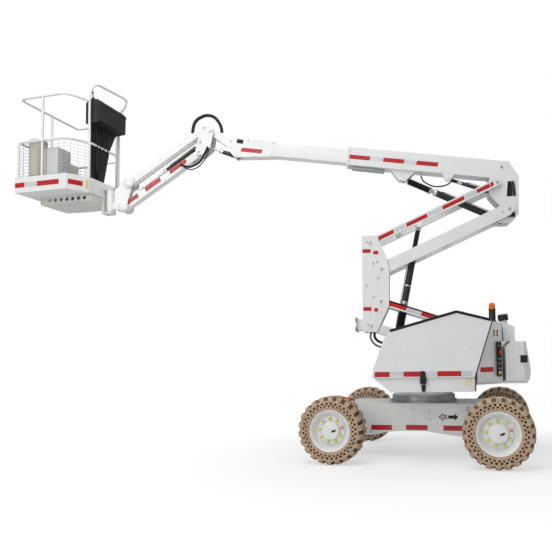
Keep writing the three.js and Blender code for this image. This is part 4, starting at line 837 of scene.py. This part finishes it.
def boot(start, axis, low, high, radius, pleats):
    """Pleated sleeve: its radius swings between radius and three quarters of it, pleats times."""
    steps = np.linspace(0, 1, pleats * 4 + 1)
    wave = 0.87 + 0.13 * np.cos(steps * pleats * 2 * math.pi)
    return spun(np.stack([radius * wave, low + (high - low) * steps], 1), 28, start, axis)


def ring(name, rows, start, axis, body, material=GLAND):
    """Turned ring or sleeve on a cylinder, from rows of radius and distance up its axis."""
    upper(name, spun(rows, 36, start, axis), material, body)


for name, (base, eye, y, r, length, boot_span) in CYLINDERS.items():
    barrel, rod = f"{name}_cylinder_barrel", f"{name}_cylinder_rod"
    start = np.array((base[0], y, base[1]))
    axis = np.array((eye[0] - base[0], 0.0, eye[1] - base[1]))
    axis /= np.linalg.norm(axis)
    rounded(barrel, BLACK_PAINT, 0.002)
    rounded(rod, CHROME, 0.0015)
    ring(f"{name}_barrel_skin", [(r * 0.9, 0.035), (r * 1.035, 0.040), (r * 1.035, length - 0.055),
                                 (r * 0.9, length - 0.050)], start, axis, barrel, BLACK_PAINT)
    ring(f"{name}_gland", [(r * 0.7, length - 0.052), (r * 1.09, length - 0.050), (r * 1.09, length - 0.012),
                           (r, length - 0.004), (r * 0.66, length + 0.002)], start, axis, barrel)
    pipe_up = np.array((-axis[2], 0.0, axis[0])) * (1.0 if axis[0] > 0 else -1.0)
    pipe = [start + axis * u + pipe_up * (r + lift) for u, lift in
            ((0.10, 0.004), (0.13, 0.013), (length - 0.16, 0.013), (length - 0.10, 0.004))]
    upper(f"{name}_pipe", tube(pipe, 0.006, 8), ZINC, barrel)
    if boot_span:
        pleated = boot(start, axis, *boot_span, r * 1.12, 16 if name == "lift" else 8)
        upper(f"{name}_boot", pleated, HOSE_BLACK, rod)
        top = boot_span[0] - 0.002
        ring(f"{name}_band", [(r * 0.9, top - 0.026), (r * 1.16, top - 0.024), (r * 1.16, top - 0.002),
                              (r * 0.9, top)], start, axis, rod)
    if name == "riser":
        upper("riser_boot", boot(start, axis, 0.080, 0.320, 0.066, 10), HOSE_BLACK, barrel)
        upper("riser_rod_boot", boot(start, axis, 1.135, 1.490, 0.038, 18), HOSE_BLACK, rod)
        for band, foot, wide, tall in (("band", 0.440, 0.0505, 0.044), ("band_upper", 0.690, 0.0495, 0.024)):
            ring(f"riser_{band}", [(0.04, foot), (wide, foot + 0.002), (wide, foot + tall - 0.002),
                                   (0.04, foot + tall)], start, axis, barrel)


# ---- Boom ----------------------------------------------------------------------------------
# Two white box sections that telescope on wear pads. Red tapes with silver ones between them
# run along the base, a cable carrier hangs under its mouth, and a black plate sits on the head.
for shown in ("boom_base", "boom_extension"):
    rounded(shown, WHITE_PAINT, 0.007, 3)
BOOM_RISE = math.radians(7.6)
BOOM_WAY = np.array((-math.cos(BOOM_RISE), math.sin(BOOM_RISE)))
BOOM_UP = np.array((math.sin(BOOM_RISE), math.cos(BOOM_RISE)))


def on_boom(u, w):
    """X and Z of a point u ahead of the boom's pin and w above the line through it."""
    return BOOM_PIN + BOOM_WAY * u + BOOM_UP * w


def boom_strip(u0, u1, w, width, slant=0.0):
    """Tape along the boom, from the end nearer the counterweight to the one nearer the basket."""
    return strip(on_boom(u1, w), on_boom(u0, w), width, slant)


for colour, material, spans in (("red", RED_TAPE, ((1.815, 2.110), (1.335, 1.625), (0.860, 1.160))),
                                ("silver", SILVER_TAPE, ((1.628, 1.812), (1.163, 1.332)))):
    tapes = both_sides([boom_strip(u0, u1, -0.040, 0.060, 0.012) for u0, u1 in spans], 0.100)
    upper(f"boom_{colour}_tapes", tapes, material, "boom_base")
TIP_U, HEAD_Y = 3.890, 0.076
tip_tape = [boom_strip(TIP_U - 0.520, TIP_U - 0.215, -0.075, 0.058, 0.010)]
upper("head_red_tape", both_sides(tip_tape, HEAD_Y), RED_TAPE, "boom_extension")
plate = [on_boom(TIP_U - u, w) for u, w in ((0.13, 0.078), (0.235, 0.075), (0.235, 0.006), (0.13, 0.010))]
softened(upper("head_plate", both_sides([plate], HEAD_Y, 0.012), BLACK_TRIM, "boom_extension"), 0.007, 3)
head_bolts = heads_at([on_boom(TIP_U - u, w) for u, w in (
    (0.66, 0.060), (0.66, -0.100), (0.30, 0.065), (0.05, 0.030), (0.06, -0.050))], HEAD_Y)
upper("head_bolts", bolt_heads(head_bolts, 0.010, 0.009), ZINC, "boom_extension")
pad_bolts = heads_at([on_boom(2.122, w) for w in (0.040, -0.030, -0.100)], 0.106)
upper("mouth_bolts", bolt_heads(pad_bolts, 0.009, 0.008), ZINC, "boom_base")
carrier = [on_boom(u, w) for u, w in ((1.60, -0.158), (1.60, -0.200), (2.05, -0.196), (2.10, -0.158))]
tray = np.array([(x, y, z) for y in (-0.045, 0.045) for x, z in carrier])
softened(upper("cable_carrier", (tray, BLOCK_FACES),
               steel("carrier_grey", (0.48, 0.48, 0.49), 0.45), "boom_base", "black_plastic"), 0.005)
lift_hose = smooth_path([on_boom(u, w) for u, w in (
    (0.62, -0.17), (0.70, -0.26), (0.86, -0.30), (1.02, -0.25), (1.08, -0.165))], 7)
lift_hose = np.insert(lift_hose, 1, 0.072, axis=1)
upper("boom_hose_loop", tube(lift_hose, 0.010, 8), HOSE_BLACK, "boom_base")


# ---- Jib -----------------------------------------------------------------------------------
# A short parallelogram of flat bars and a trough-shaped lower arm, white, with three red tapes a
# side; the knuckle and the end bracket carry round covers over their pins.
for shown in ("jib_knuckle", "jib_upper_arm", "jib_lower_arm", "jib_end_bracket"):
    rounded(shown, WHITE_PAINT, 0.005)
JIB_REAR, JIB_FRONT = (-3.1486, 4.3079), (-4.2720, 3.5502)
taped("jib", JIB_FRONT, JIB_REAR, 0.058, 0.058, "jib_lower_arm",
      [(0.0, 0.195), (0.290, 0.490), (0.615, 0.830)], [(0.198, 0.287), (0.493, 0.612)], 0.018)
END_PINS = [(-4.192, 3.900), (-4.272, 3.550)]
cover = [(0.030, -0.004), (0.072, -0.002), (0.078, 0.004), (0.078, 0.008), (0.070, 0.013), (0.020, 0.015)]
covers = [spun(cover, 40, *spot) for spot in heads_at(END_PINS, 0.091)]
upper("jib_end_covers", together(covers), WHITE_PAINT, "jib_end_bracket")
cover_bolts = heads_at([(x + 0.05 * math.cos(a), z + 0.05 * math.sin(a)) for x, z in END_PINS
                        for a in (0.5, 2.6, 4.7)], 0.104)
upper("jib_cover_bolts", bolt_heads(cover_bolts, 0.007, 0.006), ZINC, "jib_end_bracket")
knuckle_heads = heads_at([(-3.0686, 4.6579), JIB_REAR, (-2.9836, 4.6029), CYLINDERS["jib"][0]], 0.1035)
upper("knuckle_pin_bolts", bolt_heads(knuckle_heads, 0.012, 0.009), ZINC, "jib_knuckle")
jib_hose = smooth_path([(-3.30, 0.0, 4.27), (-3.55, 0.012, 4.115), (-3.85, 0.02, 3.905),
                        (-4.10, 0.02, 3.73)], 8)
upper("jib_arm_hoses", together([tube(jib_hose + (0, y, 0), 0.010, 8) for y in (0.022, -0.030)]), HOSE_BLACK,
      "jib_lower_arm")


# ---- Basket --------------------------------------------------------------------------------
# A folded steel tray with a perforated under-frame, rails of bent white tube, and galvanised
# wire mesh between the toe board and the middle rail. Everything is made about the rotator's
# upright axis, facing -X, and turned 10 degrees with the basket.
ROTATOR = float(PIN["basket_rotate"][0])
TRAY_FRONT, TRAY_REAR, TRAY_HALF = -1.110, -0.095, 0.610
CHAMFER_X, CHAMFER_Y = 0.170, 0.260
POST_F, POST_B, POST_N = TRAY_FRONT + 0.028, TRAY_REAR - 0.028, TRAY_HALF - 0.028
RAIL_TOP_Z, MID_Z, RAIL_R = 5.063, 4.430, 0.0175
rounded("basket_floor", WHITE_PAINT, 0.006)
rounded("basket_frame", paint("cream_paint", (0.66, 0.65, 0.61), 0.42, 0.3), 0.004)


def basket(shape):
    """Shape made about the rotator's axis brought to the basket."""
    return swung(shape, ROTATOR, -10.0)


def aloft(name, shape, material, body="basket", slot=None):
    """Piece made about the rotator's axis, brought to the basket."""
    return new_piece(name, *basket(shape), material, body, slot)


def bent(corners, bend=0.09, steps=6):
    """Path through the corners with each bend rounded: near a corner it follows the curve whose
    control points are the corner and the two points a bend's length from it."""
    p = np.asarray(corners, float)
    rounded_path = [p[0]]
    for before, corner, after in zip(p[:-2], p[1:-1], p[2:]):
        reach_a = min(bend, np.linalg.norm(corner - before) * 0.45)
        reach_b = min(bend, np.linalg.norm(after - corner) * 0.45)
        a = corner + (before - corner) / np.linalg.norm(before - corner) * reach_a
        b = corner + (after - corner) / np.linalg.norm(after - corner) * reach_b
        t = np.linspace(0, 1, steps)[:, None]
        rounded_path += list((1 - t) ** 2 * a + 2 * t * (1 - t) * corner + t ** 2 * b)
    rounded_path.append(p[-1])
    return np.array(rounded_path)


n, f, b = POST_N, POST_F, POST_B
POST_FOOT = 3.7403
rear = TRAY_REAR - CHAMFER_X - 0.020
gate_front, gate_rear = TRAY_REAR - 0.640, TRAY_REAR - 0.230
near, far = CHAMFER_Y - n, n - CHAMFER_Y   # where the chamfers meet the rear edge


def level(z, spots):
    """Plan spots at one height."""
    return [(x, y, z) for x, y in spots]


runs = [
    bent(level(RAIL_TOP_Z, [(gate_front, n), (f + 0.02, n), (f, n - 0.06), (f, 0.06 - n), (f + 0.06, -n),
                            (rear, -n)]) + [(b, near, RAIL_TOP_Z - 0.030)], 0.12),
    bent(level(MID_Z, [(gate_front, n), (f, n), (f, -n), (rear, -n), (b, near), (b, far), (gate_rear, n)])),
    bent([(b, near, POST_FOOT), (b, near, RAIL_TOP_Z + 0.09), (b + 0.06, near + 0.04, RAIL_TOP_Z + 0.240),
          (b + 0.150, far - 0.01, RAIL_TOP_Z + 0.240), (b + 0.120, far, RAIL_TOP_Z + 0.150),
          (b, far, RAIL_TOP_Z + 0.020), (b, far, POST_FOOT)], 0.10),
    bent(level(RAIL_TOP_Z - 0.030, [(b, far), (gate_rear, n)])),
]
posts = [(f, -n, MID_Z), (f, n, MID_Z), (f + 0.400, -n, RAIL_TOP_Z), (f, 0.030, RAIL_TOP_Z),
         (gate_front, n, RAIL_TOP_Z), (gate_rear, n, RAIL_TOP_Z - 0.030)]
pipes = [tube(run, RAIL_R, 14) for run in runs]
pipes += [tube([(x, y, POST_FOOT), (x, y, z)], RAIL_R, 14) for x, y, z in posts]
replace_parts(aloft("rails", together(pipes), WHITE_PAINT), "basket_rails")
x0, x1, low, high = gate_front + 0.0315, gate_rear - 0.037, 3.960, 4.940
gate = bent([(x, n, z) for x, z in (
    (x0, low + 0.3), (x0, high), (x1, high), (x1, low), (x0, low), (x0, low + 0.31))], 0.08)
gate = together([tube(gate, 0.0142, 12), tube([(x0, n, 4.45), (x1, n, 4.45)], 0.0122, 12)])
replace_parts(aloft("gate_tubes", gate, WHITE_PAINT, "basket_gate"), "basket_gate")


# ---- Wire mesh -----------------------------------------------------------------------------
# Welded galvanised wire, 3 mm thick, tied inside the posts: level wires close together and
# upright ones further apart, on the near side, its chamfer, the front and the far side.
WIRE = steel("galvanised_wire", (0.42, 0.43, 0.44), 0.38)
INSET, WIRE_R = 0.015, 0.0019
near_plan = [(f + INSET, -0.10), (f + INSET, INSET - n), (rear, INSET - n), (b - 0.012, near + 0.006)]
far_plan = [(f + INSET, -0.10), (f + INSET, n - INSET), (gate_front - 0.02, n - INSET)]
wires = []
for plan in (near_plan, far_plan):
    wires += [tube(level(z, plan), WIRE_R, 4) for z in np.arange(3.945, 4.405, 0.046)]
    for (x0, y0), (x1, y1) in zip(plan[:-1], plan[1:]):
        count = max(2, int(np.hypot(x1 - x0, y1 - y0) / 0.095))
        for t in (np.arange(count) + 0.5) / count:
            x, y = x0 + (x1 - x0) * t, y0 + (y1 - y0) * t
            wires.append(tube([(x, y, 3.925), (x, y, 4.412)], WIRE_R, 4))
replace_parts(aloft("mesh_wires", together(wires), WIRE), "mesh_panel_near", "mesh_panel_front")


# ---- Basket fittings -----------------------------------------------------------------------
# Tapes and a blank label on the toe board; the console is black moulded plastic with ribs, one
# lever and hoses down its skirt; a cream canister and two open bins stand on the floor.
CORNER_A = np.array((TRAY_REAR - CHAMFER_X, -TRAY_HALF))
CORNER_B = np.array((TRAY_REAR, CHAMFER_Y - TRAY_HALF))
TAPE_Z = (3.772, 3.842)


def toe_tape(a, b, z0=TAPE_Z[0], z1=TAPE_Z[1]):
    """Slab on the toe board from one plan point to another."""
    return slab([(*a, z0), (*b, z0), (*b, z1), (*a, z1)])


def side_tapes(x0, x1):
    """Tapes on the near and the far toe board."""
    return [toe_tape((x0, -TRAY_HALF), (x1, -TRAY_HALF)), toe_tape((x1, TRAY_HALF), (x0, TRAY_HALF))]


def corner_tape(t0, t1, side=-1.0, z0=TAPE_Z[0], z1=TAPE_Z[1]):
    """Slab on the tray's chamfered corner, from share t0 to t1 along it."""
    a, b = [(CORNER_A + (CORNER_B - CORNER_A) * t) * (1.0, -side) for t in (t0, t1)]
    return toe_tape(a, b, z0, z1) if side < 0 else toe_tape(b, a, z0, z1)


toe = side_tapes(-1.108, -0.948) + side_tapes(-0.735, -0.375)
toe += [corner_tape(0.10, 0.72), corner_tape(0.10, 0.72, 1.0)]
toe += [toe_tape((TRAY_FRONT, y), (TRAY_FRONT, y - 0.30)) for y in (0.45, -0.15)]
aloft("toe_red_tapes", together(toe), RED_TAPE)
aloft("toe_silver_tapes", together(side_tapes(-0.944, -0.739)), SILVER_TAPE)
aloft("toe_label", corner_tape(0.86, 0.96, -1.0, 3.745, 3.870), YELLOW_LABEL)
BLACK_PLASTIC = rubber("console_plastic", (0.006, 0.006, 0.0065), 220.0, 0.0003)
rounded("control_console", BLACK_PLASTIC, 0.014, 3)
lip = together([block((0.012, -0.296, 4.985), (0.028, 0.296, 5.022)),
                block((-0.210, -0.2945, 4.735), (0.016, -0.2895, 4.760)),
                block((0.012, -0.285, 4.748), (0.023, 0.285, 4.768))])
softened(aloft("console_ribs", lip, BLACK_PLASTIC), 0.004)
lever = [(0.022, 0.0), (0.018, 0.020), (0.007, 0.034), (0.006, 0.085), (0.011, 0.095), (0.012, 0.118),
         (0.006, 0.126)]
aloft("console_levers", spun(lever, 16, (-0.105, -0.27, 5.078), (-0.10, 0.0, 1.0)), BLACK_PLASTIC)
skirt_hoses = [tube(smooth_path([
    (-0.118, y, 4.70), (-0.112, y + 0.03, 4.40), (-0.112, y + 0.02 - 0.02 * i, 4.10),
    (-0.112, -0.06 - 0.03 * i, 3.90), (-0.108, -0.02 - 0.02 * i, 3.80)], 6), 0.012, 8)
    for i, y in enumerate((-0.20, -0.14, -0.06, 0.02))]
aloft("console_hoses", together(skirt_hoses), HOSE_BLACK)
CREAM = paint("cream_plastic", (0.60, 0.57, 0.49), 0.5, 0.25)
rounded("canister", CREAM, 0.004)
rounded("tool_bin", CREAM, 0.012, 3)
rounded("storage_box", paint("white_plastic", (0.72, 0.72, 0.71), 0.5, 0.2), 0.014, 3)
under = [((x, y, z), (0, math.copysign(1, y), 0))
         for y in (-0.300, 0.230) for x in (-0.94, -0.14) for z in (3.63, 3.67)]
aloft("under_frame_bolts", bolt_heads(under, 0.009, 0.008), ZINC)
